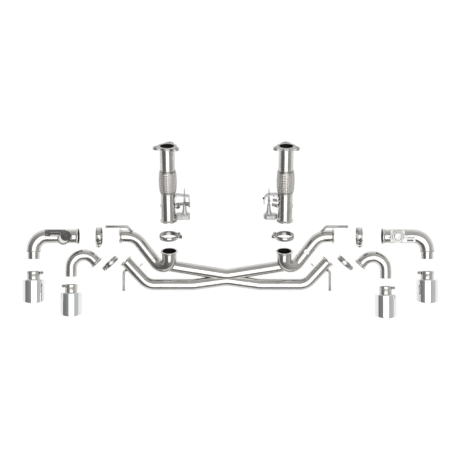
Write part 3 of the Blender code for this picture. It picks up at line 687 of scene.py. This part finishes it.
def make_downpipe(side, sign):
    """One downpipe: its tubes with rim and welds, coupling, plate, throttle and actuator."""
    body = f"downpipe_{side}"
    pivot = PIVOTS[f"throttle_{side}_turn"]
    foot = pivot - RISING * THROTTLE_ALONG
    route = Route([foot, foot + RISING * PLATE_ALONG])
    inboard = ACROSS * -sign

    def make_tube(name):
        """One of the two plain tubes on the route."""
        start, end = DOWNPIPE_TUBES[name]
        shape = pipe_shape(route, skin_of(start, end, DOWNPIPE_R), bore_of(start, end, DOWNPIPE_R))
        shape.made(f"{name}_{side}_tube", body, "stainless", [STEEL, PAINTED_SHADE], [f"{name}_{side}"])

    make_tube("lower_tube")
    rim_ring(route, FLANGE_3_R, DOWNPIPE_R).made(f"lower_tube_{side}_rim", body, "stainless", [RIM_STEEL])
    beads = weld(foot + RISING * RIM_WELD, RISING, DOWNPIPE_R + 0.1)
    for along in (155.5, 280.5, 395):
        beads.add(weld(foot + RISING * along, RISING, DOWNPIPE_R + 0.3, height=1.6))
    beads.made(f"downpipe_{side}_welds", body, "stainless", [WELD], sharp=60)
    make_tube("upper_tube")
    bosses = Shape()
    for end, reach in ((-1, 40.5), (1, 47.0)):
        spans = [(35, 9.5), (reach - 1, 9.5), (reach, 8.7), (reach, 4.7), (35, 4.7)]
        bosses.add(ring(pivot, inboard * end, spans, 32))
    bosses.made(f"shaft_boss_{side}", body, "stainless", [RIM_STEEL])
    make_braid(side, body, foot)
    make_front_flange(side, body, foot)
    make_throttle(side, pivot, inboard)
    make_actuator(side, body, foot, inboard)


def make_braid(side, body, foot):
    """The flexible coupling: a liner, a sleeve of ribbons woven over and under, and crimped end collars."""
    bottom, top = BRAID_SPAN
    level, up = across(RISING)

    def bulge(along):
        """The sleeve's radius, which swells between the collars."""
        share = min(max((along - bottom) / (top - bottom), 0.0), 1.0)
        return 39.6 + 5.6 * sin(pi * share) ** 0.62

    stops = [bottom + (top - bottom) * i / 24 for i in range(25)]
    liner = [(along, bulge(along) - 1.9) for along in stops]
    inside = [(top, DOWNPIPE_R - WALL), (bottom, DOWNPIPE_R - WALL)]
    # Near-black liner: painted shade in the gaps of the weave.
    lining = ring(foot, RISING, liner + inside)
    lining.made(f"braid_liner_{side}", body, "woven_braid", [SHADED_LINER], [f"flex_braid_{side}"])

    count, stations, wires = 22, 78, 4
    low, high = bottom + 5.5, top - 5.5
    advance = (high - low) / BRAID_R
    slant = sin(pi / 4)
    half_width = pi * BRAID_R / count * slant * 0.9

    def strand(along, angle, lift, direction, offset):
        """A point of a ribbon, offset across it."""
        reach = along - direction * offset * slant
        size = bulge(along) + lift
        turn = angle + offset * slant / size
        return foot + RISING * reach + (level * cos(turn) + up * sin(turn)) * size

    ribbons = Shape()
    # The crossing ribbons take the darker copy of the wire: painted shade.
    for direction, finish in ((-1, 0), (1, 1)):
        for k in range(count):
            rows = []
            for i in range(stations):
                share = i / (stations - 1)
                along = low + (high - low) * share
                angle = tau * k / count + direction * advance * (share - 0.5)
                over = 0.7 * cos(count * angle) * direction
                row = []
                for wire in range(wires * 2 + 1):
                    offset = (wire / wires - 1) * half_width
                    row.append(strand(along, angle, over + 0.55 * (wire % 2), direction, offset))
                for edge in (half_width, -half_width):
                    row.append(strand(along, angle, over - 0.7, direction, edge))
                rows.append(row)
            ribbons.skin(rows, finish)
    ribbons.made(f"braid_ribbons_{side}", body, "woven_braid", [BRAID, BRAID_SHADED], sharp=70)
    collars = Shape()
    for edge, way in ((bottom, 1), (top, -1)):
        spans = [(0.2, 38.6), (0.2, 40.2), (0.8, 41.0), (6.0, 42.6), (7.4, 42.6), (7.8, 41.2), (4, 39.4)]
        collars.add(ring(foot + RISING * edge, RISING * way, spans))
    collars.made(f"braid_collars_{side}", body, "woven_braid", [CLAMP])


def make_front_flange(side, body, foot):
    """The three-eared plate on top of the downpipe, with its bore and bolt holes."""
    ears = {"left": (40, 160, 280), "right": (30, 150, 270)}[side]
    up = Vector((0, -sin(PITCH), cos(PITCH)))
    back = foot + RISING * PLATE_ALONG
    ear_width = radians(34)
    rows = []
    for along, less in ((0.05, 1.0), (1.0, 0), (10.0, 0), (10.9, 1.0)):
        row = []
        for i in range(180):
            angle = tau * i / 180
            off = min(abs((angle - radians(ear) + pi) % tau - pi) for ear in ears)
            rise = cos(off / ear_width * pi / 2) ** 1.3 if off < ear_width else 0
            reach = 50.0 + 25.0 * rise - less
            row.append(back + ACROSS * reach * cos(angle) + RISING * along + up * reach * sin(angle))
        rows.append(row)
    middle = back + RISING * 5.5
    # The walls of the bore and bolt holes take the near-black painted shade.
    steps = [("DIFFERENCE", bar(middle, RISING, ((-15, 36.1), (15, 36.1)), 64, 1))]
    for ear in ears:
        place = middle + (ACROSS * cos(radians(ear)) + up * sin(radians(ear))) * 62.0
        steps.append(("DIFFERENCE", bar(place, RISING, ((-15, 5.5), (15, 5.5)), 32, 1)))
    mesh = carve(Shape().skin(rows), steps, [FLANGE, PAINTED_SHADE])
    piece(mesh, f"front_flange_{side}_plate", body, [f"front_flange_{side}"])


def butterfly(pivot, level, up, normal, radius):
    """A valve's disc with a thinned edge."""
    turns = [tau * i / FINE for i in range(FINE)]
    rows = []
    for height, less in ((-1.2, 0.4), (-0.8, 0), (0.8, 0), (1.2, 0.4)):
        reach = radius - less
        middle = pivot + normal * height
        rows.append([middle + (level * cos(turn) + up * sin(turn)) * reach for turn in turns])
    return Shape().skin(rows)


def make_throttle(side, pivot, inboard):
    """Shaft and disc of the throttle, with the return spring round the shaft's inboard end."""
    shape = bar(pivot, inboard, ((-41, 3.4), (-40.2, 4), (54, 4), (55, 3.2)), 24)
    normal = inboard.cross(RISING)
    shape.add(butterfly(pivot, inboard, RISING, normal, 34.4))
    for offset in (-14, 14):
        shape.add(bar(pivot + inboard * offset, normal, ((-5.4, 2.6), (-5, 3.2), (5, 3.2), (5.4, 2.6)), 16))
    shape.made(f"throttle_{side}_valve", f"throttle_{side}", "valve_steel", [VALVE], [f"throttle_{side}"])
    coils, steps = 4, 96
    level, up = across(inboard)
    points = []
    for i in range(steps + 1):
        turn = tau * coils * i / steps
        out = level * cos(turn) + up * sin(turn)
        points.append(pivot + inboard * (48.6 + 4.6 * i / steps) + out * 7.6)
    rows = []
    for i, point in enumerate(points):
        ahead = (points[min(i + 1, steps)] - points[max(i - 1, 0)]).normalized()
        rows.append(circle(point, ahead, 0.5, 8))
    spring = Shape().skin(rows)
    spring.made(f"throttle_{side}_spring", f"throttle_{side}", "valve_steel", [BOLT], sharp=60)


def strip(route, up, depth, thickness):
    """A bent strip of sheet: a flat section swept along a route, its width along up."""
    rows = []
    for point, way in zip(route.points, route.ways):
        out = way.cross(up).normalized()
        rows.append([point + up * a + out * b for a, b in rounded(depth / 2, thickness / 2, 1.0, 2)])
    return Shape().skin(rows)


def make_actuator(side, body, foot, inboard):
    """The actuator beside the lower tube: a bent bracket, the spindle through it, a can and dark linkage."""
    up = inboard.cross(RISING)
    if up.z < 0:
        up = -up

    def place(out, along, height=0.0):
        """A point out from the tube's axis, along it and above it."""
        return foot + inboard * out + RISING * along + up * height

    arched = side == "right"
    if arched:
        corners, bend = [place(38.6, 148), place(109, 148), place(109, 98)], 32
    else:
        corners, bend = [place(38.6, 146), place(109, 138), place(109, 98)], 5
    bracket = strip(Route(corners, bend), up, 33.6, 4.6)
    spindle_at = place(84.5, 0)
    spindle = ((66, 5.2), (67, 6), (84, 6), (126, 4.6), (150, 3.2), (174, 1.9), (182, 0.8))
    bracket.add(bar(spindle_at, RISING, spindle, 24))
    bracket.add(slab(place(42.5, 140), (RISING, up, inboard), (16, 30, 4), 0.6, corner=4))
    node = f"actuator_bracket_{side}"
    bracket.made(f"{node}_frame", body, "cast_aluminium", [CAST], [node])

    edge, corner = (5.0, 19.0) if arched else (2.0, 8.0)
    axes = (inboard, up, RISING)
    can = slab(place(75, 26), axes, (71.4, 40, 27.6), edge, corner=corner)
    can.add(slab(place(75, 33), axes, (73, 41.6, 3.2), 0.8, corner=corner + 0.6))
    neck = ((39.5, 20), (41.5, 20), (43, 17), (52, 13), (65, 10), (90, 8.2), (93, 6.2))
    can.add(bar(spindle_at, RISING, neck, 32))
    can.made(f"actuator_can_{side}_shell", body, "cast_aluminium", [CAST], [f"actuator_can_{side}"])

    hardware = Shape()
    for height in (-11, 11):
        hardware.add(hexagon(place(60, 140.5, height), RISING, 4.6, 4.6))
        hardware.add(hexagon(place(98, 137.5, height), RISING, 4.6, 4.0))
    if arched:
        hardware.add(hexagon(place(110, 123, 4), RISING, 7.5, 8))
        hardware.add(hexagon(place(81, 116, 12), up, 5.0, 5))
        for along, reach in ((119, 64), (93, 68)):
            lever = Route([place(41, along - 3, 8), place(reach, along + 2, 12)])
            hardware.add(strip(lever, RISING, 14, 5))
            hardware.add(hexagon(place(reach - 5, along + 1, 15), up, 7.5, 5))
    else:
        lever = Route([place(42, 96, 10), place(64, 98, 12), place(84, 100, 12)], 3)
        hardware.add(strip(lever, RISING, 15, 5))
        hardware.add(rod(Route([place(90, 101, 9), place(112, 101, 9)]), 6.0, 16))
        hook = Route([place(88, 89, 10), place(104, 91, 10), place(111, 82, 10)], 6)
        hardware.add(rod(hook, 4.2, 12, ends=((0, -0.4), (0.4, 0))))
        for out, along in ((45, 97), (82, 100), (108, 101)):
            hardware.add(hexagon(place(out, along, 14), up, 7.0, 5.0))
        clip = Route([place(42, 75, 6), place(54, 76, 10), place(62, 86, 12)], 5)
        hardware.add(strip(clip, RISING, 10, 4))
    hardware.made(f"actuator_{side}_hardware", body, "bolt_steel", [BOLT])


# Clamps

CLAMP_SIZES = {
    "downpipe_clamp": {"lip": 46.4, "strap": 50.2, "width": 22.0, "groove": 48.3},
    "outer_clamp": {"lip": 43.4, "strap": 46.9, "width": 28.0, "groove": 45.0},
    "inner_clamp": {"lip": 37.8, "strap": 41.1, "width": 24.0, "groove": 39.3},
}
CLAMP_GAP = radians(30)
SEGMENT_GAP = radians(3)
BOLT_LENGTH = 58.0
BOLT_HEAD = 6.0


def arc_band(shape, centre, axis, spans, start, end, finish=0):
    """Adds a stretch of a turned ring between two angles."""
    level, up = across(axis)
    count = max(3, round((end - start) / BEND_STEP))
    rows = []
    for i in range(count + 1):
        angle = start + (end - start) * i / count
        out = level * cos(angle) + up * sin(angle)
        rows.append([centre + axis * along + out * radius for along, radius in spans])
    shape.skin(rows, finish)


def mirrored(spans):
    """A profile's mirror image, so that the two make one symmetrical profile."""
    return [(-along, radius) for along, radius in reversed(spans)]


def sheet_row(at, low, high, inner, outer):
    """The four corners of a strap's section, from its two edges and its two faces."""
    return [at + low + inner, at + high + inner, at + high + outer, at + low + outer]


def make_clamp(kind, side, axis, bolt_angle):
    """A V-band clamp: three V-shaped segments under a strap whose ends wrap the T-bolt's trunnions."""
    name = f"{kind}_{side}"
    form = CLAMP_SIZES[kind]
    centre = OPENINGS[f"{kind}_ring_{side}"]
    lip, strap, half = form["lip"], form["strap"], form["width"] / 2
    inner = half - 4.5
    level, up = across(axis)
    first, last = bolt_angle + CLAMP_GAP / 2, bolt_angle + tau - CLAMP_GAP / 2
    band = Shape()
    top = [(-half, lip), (-half + 0.4, lip + 1.5), (-inner, strap - 1.3)]
    under = [(half - 1.2, lip + 0.1), (inner - 0.8, strap - 2.9)]
    segment = top + mirrored(top) + under + mirrored(under)
    third = (last - first) / 3
    for k in range(3):
        start = first + third * k + (SEGMENT_GAP / 2 if k else 0)
        end = first + third * (k + 1) - (SEGMENT_GAP / 2 if k < 2 else 0)
        arc_band(band, centre, axis, segment, start, end)
    wide = inner * 0.8
    edge = [(-wide, strap - 1.25), (-wide, strap - 0.2), (-wide + 0.3, strap)]
    arc_band(band, centre, axis, edge + mirrored(edge), first - radians(1), last + radians(1), 1)

    out = level * cos(bolt_angle) + up * sin(bolt_angle)
    along_bolt = up * cos(bolt_angle) - level * sin(bolt_angle)
    reach = form["groove"] * sin(CLAMP_GAP / 2) + 2.5
    bolt_out = form["groove"] * cos(CLAMP_GAP / 2) + 11.7
    bolt_at = centre + out * bolt_out
    strap_end = CLAMP_GAP / 2 + 0.02
    broad = half * 0.84
    for end in (-1, 1):
        away = along_bolt * end
        trunnion = bolt_at + away * reach
        spans = ((-half, 4.2), (-half + 0.6, 5.0), (half - 0.6, 5.0), (half, 4.2))
        band.add(bar(trunnion, axis, spans, 24, 1))
        near = away * 5.6 - out * 2.0
        far = out * (strap * cos(strap_end) - bolt_out) + away * (strap * sin(strap_end) - reach)
        for low, high in ((-broad, -broad * 0.38), (broad * 0.38, broad)):
            edges = (axis * low, axis * high)
            loop = []
            for i in range(15):
                turn = radians(-20 + 220 * i / 14)
                wrap = out * cos(turn) - away * sin(turn)
                loop.append(sheet_row(trunnion, *edges, wrap * 5.1, wrap * 6.2))
            band.skin(loop, 1)
            legs = []
            for share in (0.0, 0.5, 1.0):
                legs.append(sheet_row(trunnion + near.lerp(far, share), *edges, away * -0.5, away * 0.6))
            band.skin(legs, 1)
    band.made(f"{name}_ring", name, "stainless", [CLAMP, STEEL], [f"{name}_band"], sharp=40)

    face = reach + 3.9
    head, tip = -face - BOLT_HEAD, BOLT_LENGTH - BOLT_HEAD - face
    spans = ((head, 4.6), (head + 0.8, 6.0), (-face - 1, 6.2), (-face, 3.4), (tip - 1, 3.4), (tip, 2.8))
    bolt = bar(bolt_at, along_bolt, spans, 20)
    thread = [(face + 7 + i * 0.5, 3.5 + 0.25 * (i % 2)) for i in range(30)]
    bolt.add(bar(bolt_at, along_bolt, [(face + 6.5, 3.3), *thread, (face + 22, 3.2)], 20))
    bolt.add(bar(bolt_at, along_bolt, ((face, 7.4), (face + 1.2, 7.4), (face + 1.6, 6.8)), 24))
    bolt.add(hexagon(bolt_at + along_bolt * (face + 1.4), along_bolt, 8.2, 6.4))
    bolt.made(f"{name}_bolt", name, "bolt_steel", [BOLT], [f"{name}_t_bolt"])


# Outer elbows and J-bends

def make_outer_elbow(side, sign):
    """The outer bend with its V-band rim, reduced to the slip end, with a collar over the reduction."""
    body = f"outer_elbow_{side}"
    outlet = OPENINGS[f"outer_elbow_outlet_{side}"]
    out = ACROSS * sign
    face = Vector((outlet.x - sign * 239.0, -51.0, 0))
    route = Route([face, face + out * 239.0, (outlet.x, -171.0, 0)], 74)
    end = route.length
    outer = [(0, ELBOW_R - 0.4), (0.6, ELBOW_R), (end - 42, ELBOW_R), (end - 39.4, ELBOW_R - 0.6)]
    outer += [(end - 38, S_PIPE_R + 0.4), (end - 37, S_PIPE_R), (end - 0.8, S_PIPE_R), (end, S_PIPE_R - 0.5)]
    inner = [(0, ELBOW_R - 1.2), (1, ELBOW_R - WALL), (end - 46, ELBOW_R - WALL)]
    inner += [(end - 42, S_PIPE_R - WALL), (end - 1, S_PIPE_R - WALL), (end, S_PIPE_R - 1.4)]
    shape = pipe_shape(route, outer, inner)
    shape.made(f"outer_elbow_{side}_tube", body, "stainless", [STEEL, PAINTED_SHADE], [f"outer_elbow_{side}"])
    rim = rim_ring(route, FLANGE_25_R, ELBOW_R)
    # A thin near-black ring on the rim's face round the bore: painted shade that widens the dark opening.
    painted_shade_ring = [(-0.15, FLANGE_25_R - 2.4), (0.1, FLANGE_25_R - 2.2)]
    painted_shade_ring += [(0.1, ELBOW_R - 0.6), (-0.15, ELBOW_R - 0.8)]
    rim.add(ring(face, out, painted_shade_ring, finish=1))
    rim.made(f"outer_elbow_{side}_rim", body, "stainless", [RIM_STEEL, PAINTED_SHADE])
    point, way = route.at(RIM_WELD)
    beads = weld(point, way, ELBOW_R + 0.1)
    point, way = route.at(end - 38.6)
    beads.add(weld(point, way, S_PIPE_R + 2.6, 3.6, 1.0))
    point, way = route.at(end - 41)
    hoop = [(-2.5, ELBOW_R - 1), (-2.2, ELBOW_R + 1.2), (2.2, ELBOW_R + 1.2), (2.6, ELBOW_R - 1)]
    ring(point, way, hoop).made(f"outer_elbow_{side}_collar", body, "stainless", [FLANGE])
    beads.made(f"outer_elbow_{side}_welds", body, "stainless", [WELD], sharp=60)
    make_shut_off(side, body)


def make_shut_off(side, body):
    """The shut-off valve: disc and shaft, the bracket over them, and the actuator's housing."""
    pivot = PIVOTS[f"shut_off_{side}_turn"]
    valve = bar(pivot, UP, ((-39.5, 3.4), (-38.8, 4), (41.5, 4), (42.5, 3.4)), 24)
    valve.add(butterfly(pivot, ACROSS, UP, FORWARD, 32.8))
    valve.made(f"shut_off_{side}_valve", f"shut_off_{side}", "valve_steel", [VALVE], [f"shut_off_{side}"])
    bosses = Shape()
    for way, reach, chamfer in ((UP, ELBOW_R + 0.4, (0.2, 0.4)), (-UP, ELBOW_R + 3.6, (0.6, 0.6))):
        spans = [(32, 10), (reach - chamfer[0], 10), (reach, 10 - chamfer[1]), (reach, 4.8), (32, 4.8)]
        bosses.add(ring(pivot, way, spans, 32))
    bosses.made(f"shut_off_{side}_bosses", body, "stainless", [RIM_STEEL])
    base = pivot + UP * (ELBOW_R + 0.6)
    if side == "left":
        make_left_housing(base, body)
    else:
        make_right_housing(base, body)


def bracket_plate(base, arm, width, slot_arm, slot_width, finishes, broad=False):
    """The plate over the shaft with its slotted arm. Arm and width are (direction, centre, length)."""
    (arm_way, arm_at, arm_length), (width_way, width_at, wide) = arm, width
    axes = (arm_way, width_way, UP)
    level = base + UP * 8.5
    plate_at = level + arm_way * arm_at + width_way * width_at
    plate = slab(plate_at, axes, (arm_length, wide, 5.8), 0.8, corner=4)
    if broad:
        head = slab(base + UP * 6, (ACROSS, FORWARD, UP), (76, 62, 9), 0.8, corner=9)
    else:
        head = ring(base, UP, [(1, 27.4), (1.6, 28), (10.8, 28), (11.4, 27.4), (11.4, 8), (1, 8)], 48)
    slot_at = level + arm_way * slot_arm[0] + width_way * slot_width[0]
    slot = slab(slot_at, axes, (slot_arm[1], slot_width[1], 20), 0.1, corner=3.2)
    return carve(plate, [("UNION", head), ("DIFFERENCE", slot)], finishes)


def level_way(degrees):
    """A level direction, turned from the X axis."""
    return Vector((cos(radians(degrees)), sin(radians(degrees)), 0))


def make_left_housing(base, body):
    """A dark plate, a bright cup with a dark rim, and a knurled dark cap over the shaft."""
    mesh = bracket_plate(base, (-ACROSS, 55, 106), (FORWARD, 17, 36), (52, 64), (11, 18), [PLATE, PLATE])
    piece(mesh, "valve_bracket_left_plate", body, ["valve_bracket_left"])
    foot = base + UP * 12
    cup_at = foot + Vector((-9, -12, 0))
    cup = ring(cup_at, UP, [(0, 29), (0.8, 30), (11, 30), (11, 27.5), (5, 26.5), (3.4, 24), (3.4, 4), (0, 4)])
    brim = [(10.4, 29.6), (10.4, 31.4), (11, 32), (13.6, 32), (14, 31.4), (14, 29), (13, 28.4), (10.4, 28.4)]
    cup.add(ring(cup_at, UP, brim, finish=1))
    for turn in (215, 250, 285):
        out = level_way(turn)
        cup.add(slab(cup_at + out * 26 + UP * 6.5, (out, UP.cross(out), UP), (5, 2.4, 8), 0.4, corner=1))
    cup.made("valve_housing_left_cup", body, "cast_aluminium", [BRIGHT_CAST, PLATE], ["valve_housing_left"])
    cap_at = foot + Vector((3, 3, 0))
    facets = 72
    spans = ((2, 26), (13, 27), (15, 26))
    rows = [circle(cap_at + UP * height, UP, radius, facets) for height, radius in spans]
    level, up = across(UP)
    for step in range(11):
        size = 24.5 - step * 1.9
        row = []
        for i in range(facets):
            turn = tau * i / facets
            height = 15.2 + 1.3 * ((i // 2 + step) % 2)
            row.append(cap_at + UP * height + (level * cos(turn) + up * sin(turn)) * size)
        rows.append(row)
    Shape().skin(rows).made("valve_housing_left_cap", body, "cast_aluminium", [PLATE], sharp=20)
    hardware = Shape()
    for inboard_by, forward_by in ((96, 30), (98, 8), (12, 29)):
        hardware.add(hexagon(base + Vector((-inboard_by, forward_by, 11.4)), UP, 3.6, 3.4))
    for turn in (300, 335):
        hardware.add(hexagon(foot + level_way(turn) * 33, UP, 4.2, 9.0))
    hardware.made("valve_left_bolts", body, "bolt_steel", [BOLT])


def make_right_housing(base, body):
    """A bright plate and a bright round housing with a dark seal ring round its knob."""
    finishes = [BRIGHT_CAST, PLATE]
    mesh = bracket_plate(base, (ACROSS, 48, 92), (-FORWARD, 20, 24), (66, 34), (22, 9), finishes, broad=True)
    piece(mesh, "valve_bracket_right_plate", body, ["valve_bracket_right"])
    foot = base + UP * 12
    cup = ((0, 35), (0.6, 36), (2.4, 36), (3, 35.4), (4, 30.5), (13, 29.6), (15.4, 28), (16, 25.6), (16, 6))
    housing = bar(foot, UP, cup, 64)
    housing.add(bar(foot - ACROSS * 2, UP, ((15, 17.4), (20, 17), (21.4, 15.4)), 48))
    for turn in (35, 155, 275):
        housing.add(hexagon(foot + level_way(turn) * 32.8 + UP * 3, UP, 3.6, 3.4))
    housing.add(slab(foot + Vector((44, -1, -3)), (ACROSS, FORWARD, UP), (22, 13, 6), 1.0, corner=6))
    housing.made("valve_housing_right_cup", body, "cast_aluminium", [BRIGHT_CAST], ["valve_housing_right"])
    seal = ring(foot, UP, [(15.2, 20.4), (16.4, 20.4), (16.8, 21), (16.8, 22.6), (16.4, 23.2), (15.2, 23.2)])
    for out in (10.5, 20):
        seal.add(slab(foot + Vector((out, 0, 17.4)), (FORWARD, ACROSS, UP), (22, 2.2, 2.6), 0.3, corner=0.8))
    seal.made("valve_housing_right_seal", body, "cast_aluminium", [BOLT])
    hardware = Shape()
    for out, back in ((88, 22), (-44, 6)):
        hardware.add(hexagon(base + Vector((out, -back, 5)), UP, 3.8, 6.0))
    hardware.made("valve_right_bolts", body, "bolt_steel", [BOLT])


def make_j_bend(side, sign):
    """The J-shaped pipe from the inner joint round to the inner tip."""
    body = f"j_bend_{side}"
    outlet = OPENINGS[f"j_bend_outlet_{side}"]
    face = Vector((outlet.x - sign * 138.0, outlet.y + 62.0, 0))
    leg = Vector((sign * 138.0, 0, 0))
    route = Route([face, face + leg + FORWARD * 148.0, face + leg - FORWARD * 70.0], 68)
    make_pipe(f"j_bend_{side}_tube", route, CROSSOVER_R, body, f"j_bend_{side}", FLANGE_2_R, False)


# Tips

def make_tip(kind, side, tube_radius, strap_sign):
    """A slash-cut tip: double-walled polished shell, slit sleeve and strap."""
    name = f"{kind}_{side}"
    mouth_at = OPENINGS[f"{kind}_mouth_{side}"]
    back = -FORWARD
    centre = Vector((mouth_at.x, mouth_at.y + 118.0, 0))
    bore = tube_radius + 0.7
    sleeve_r = bore + 1.8
    tube = [(0, sleeve_r - 0.3), (0.5, sleeve_r), (60, sleeve_r), (60, bore), (0.5, bore), (0, bore + 0.3)]
    # The walls of the slits and drilled holes take the near-black painted shade.
    steps = []
    for direction in (UP, ACROSS):
        axes = (direction, back, direction.cross(back))
        steps.append(("DIFFERENCE", slab(centre, axes, (2 * sleeve_r + 12, 48, 2.6), 0.1, 1, corner=1.0)))
    for direction in (UP, ACROSS):
        drill = bar(centre + back * 24, direction, ((-sleeve_r - 6, 2.6), (sleeve_r + 6, 2.6)), 20, 1)
        steps.append(("DIFFERENCE", drill))
    mesh = carve(ring(centre, back, tube), steps, [STEEL, PAINTED_SHADE])
    piece(mesh, f"{name}_slip", name, [f"{name}_sleeve"])
    make_shell(name, centre, back, sleeve_r)
    make_strap(name, centre, back, ACROSS * strap_sign, sleeve_r + 0.3)


def make_shell(name, centre, back, sleeve_r):
    """The tip's shell with its rolled lip and inner wall. Each stop is (length, radius, slash)."""
    shown, length, slash = 43.0, 112.0, 0.21
    mouth = shown + length
    hole = sleeve_r + 0.3
    outside = [(shown, hole, 0), (shown, TIP_R - 5.0, 0), (shown + 0.6, TIP_R - 3.0, 0)]
    outside += [(shown + 2.2, TIP_R - 1.2, 0), (shown + 4.4, TIP_R - 0.25, 0), (shown + 7, TIP_R, 0)]
    for i in range(9):
        outside.append((shown + 14 + (length - 24) * i / 8, TIP_R, slash * (i + 1) / 9))
    lip = [(-4.0, 0), (-2.0, -0.35), (-0.7, -1.2), (-0.1, -2.4)]
    lip += [(-0.1, -3.2), (-0.8, -4.4), (-2.2, -5.1), (-4.2, -5.4)]
    outside += [(mouth + along, TIP_R + less, slash) for along, less in lip]
    inside = [(mouth - 9, TIP_R - 4.2, slash), (mouth - 30, TIP_R - 4.0, slash * 0.8)]
    inside += [(shown + 24, TIP_R - 4.0, 0), (shown + 9, TIP_R - 5.0, 0)]
    inside += [(shown + 4, TIP_R - 11.0, 0), (shown + 2.4, hole, 0)]
    shell = Shape()
    for stops, finish in ((outside, 0), ([outside[-1], *inside], 1), ([inside[-1], outside[0]], 0)):
        rows = [circle(centre + back * along, back, radius, 96, lean) for along, radius, lean in stops]
        shell.skin(rows, finish, caps=(False, False))
    finishes = [CHROME, TIP_INSIDE]
    merged(shell).made(f"{name}_can", name, "polished_chrome", finishes, [f"{name}_shell"], sharp=50)
    beads = weld(centre + back * (shown + 0.3), back, sleeve_r + 0.4, 3.0, 0.9)
    beads.made(f"{name}_weld", name, "stainless", [WELD], sharp=60)


def make_strap(name, centre, back, beside, inner):
    """The strap round the sleeve, with its two ears and the screw through them."""
    outer = inner + 1.6
    spans = [(2.4, inner), (2.0, outer - 0.4), (2.6, outer)]
    spans += [(14.4, outer), (15.0, outer - 0.4), (14.6, inner)]
    strap = ring(centre, back, spans)
    middle = centre + back * 8.5
    for height in (-5.2, 5.2):
        ear_at = middle + beside * (outer + 5) + UP * height
        strap.add(slab(ear_at, (beside, back, UP), (17, 13, 3.2), 0.5, corner=2.5))
    screw_at = middle + beside * (outer + 7)
    spans = ((-20, 4.8), (-19, 6.3), (-14, 6.5), (-12, 6.0), (-12, 3.4), (16, 3.4), (17.4, 2.6))
    screw = bar(screw_at, UP, spans, 20)
    screw.add(hexagon(screw_at + UP * 7.2, UP, 7.4, 5.2))
    screw.add(bar(screw_at, UP, ((6.7, 8.0), (7.6, 8.0), (7.8, 7.6)), 24))
    barrel_at = middle + beside * (outer + 1.8)
    screw.add(bar(barrel_at, back, ((-6.4, 2.4), (-5.8, 3.0), (5.8, 3.0), (6.4, 2.4)), 20))
    strap.made(f"{name}_strap_band", name, "bolt_steel", [STRAP], [f"{name}_strap"])
    screw.made(f"{name}_strap_screw", name, "bolt_steel", [BOLT])


# Studio

def make_studio():
    """A white floor that reads as plain white, one large softbox, a graded sky and the camera."""
    low, _ = CAD_BOX
    floor_z = low.z - 0.002
    half = 30
    mesh = bpy.data.meshes.new("floor")
    corners = [(-half, -half, floor_z), (half, -half, floor_z), (half, half, floor_z), (-half, half, floor_z)]
    mesh.from_pydata(corners, [], [(0, 1, 2, 3)])
    floor = bpy.data.objects.new("floor", mesh)
    bpy.context.scene.collection.objects.link(floor)
    made, _, _, shader = nodes_of("white_floor")
    shader.inputs["Base Color"].default_value = (0.02, 0.02, 0.02, 1)
    shader.inputs["Roughness"].default_value = 0.9
    shader.inputs["Specular IOR Level"].default_value = 0.0
    shader.inputs["Emission Color"].default_value = (1, 1, 1, 1)
    shader.inputs["Emission Strength"].default_value = 1.0
    mesh.materials.append(made)

    light = bpy.data.lights.new("overhead", "AREA")
    light.shape = "RECTANGLE"
    light.size, light.size_y = 7.2, 9.1
    light.energy = 1.75 * pi * light.size * light.size_y
    softbox = bpy.data.objects.new("overhead", light)
    softbox.location = (0.7, -3.05, 6.6)
    softbox.visible_camera = False
    bpy.context.scene.collection.objects.link(softbox)

    world = bpy.data.worlds.new("studio")
    bpy.context.scene.world = world
    world.use_nodes = True
    nodes, links = world.node_tree.nodes, world.node_tree.links
    coords = nodes.new("ShaderNodeTexCoord")
    slope = nodes.new("ShaderNodeVectorMath")
    slope.operation = "DOT_PRODUCT"
    slope.inputs[1].default_value = (0.2, 0.19, 0.0)
    links.new(coords.outputs["Generated"], slope.inputs[0])
    level = nodes.new("ShaderNodeMath")
    level.operation = "ADD"
    level.inputs[1].default_value = 0.42
    links.new(slope.outputs["Value"], level.inputs[0])
    links.new(level.outputs[0], nodes["Background"].inputs["Color"])

    camera = bpy.data.cameras.new("camera")
    camera.lens = 93.9
    camera.sensor_width = 36
    holder = bpy.data.objects.new("camera", camera)
    holder.location = (0.017, -0.018, 6.36)
    bpy.context.scene.collection.objects.link(holder)
    bpy.context.scene.camera = holder
    bpy.context.scene.view_settings.view_transform = "Standard"


make_centre_section()
for side_name, side_sign in SIDES.items():
    make_downpipe(side_name, side_sign)
    make_outer_elbow(side_name, side_sign)
    make_j_bend(side_name, side_sign)
    make_tip("outer_tip", side_name, S_PIPE_R, -side_sign)
    make_tip("inner_tip", side_name, CROSSOVER_R, side_sign)
    towards_centre = (0 if side_name == "left" else pi) + side_sign * 0.25
    make_clamp("downpipe_clamp", side_name, RISING, towards_centre)
    make_clamp("outer_clamp", side_name, ACROSS, radians(45))
    inner_axis = Vector((side_sign * INNER_JOINT_WAY[0], INNER_JOINT_WAY[1], 0))
    make_clamp("inner_clamp", side_name, inner_axis, pi if side_name == "left" else 0)
make_studio()
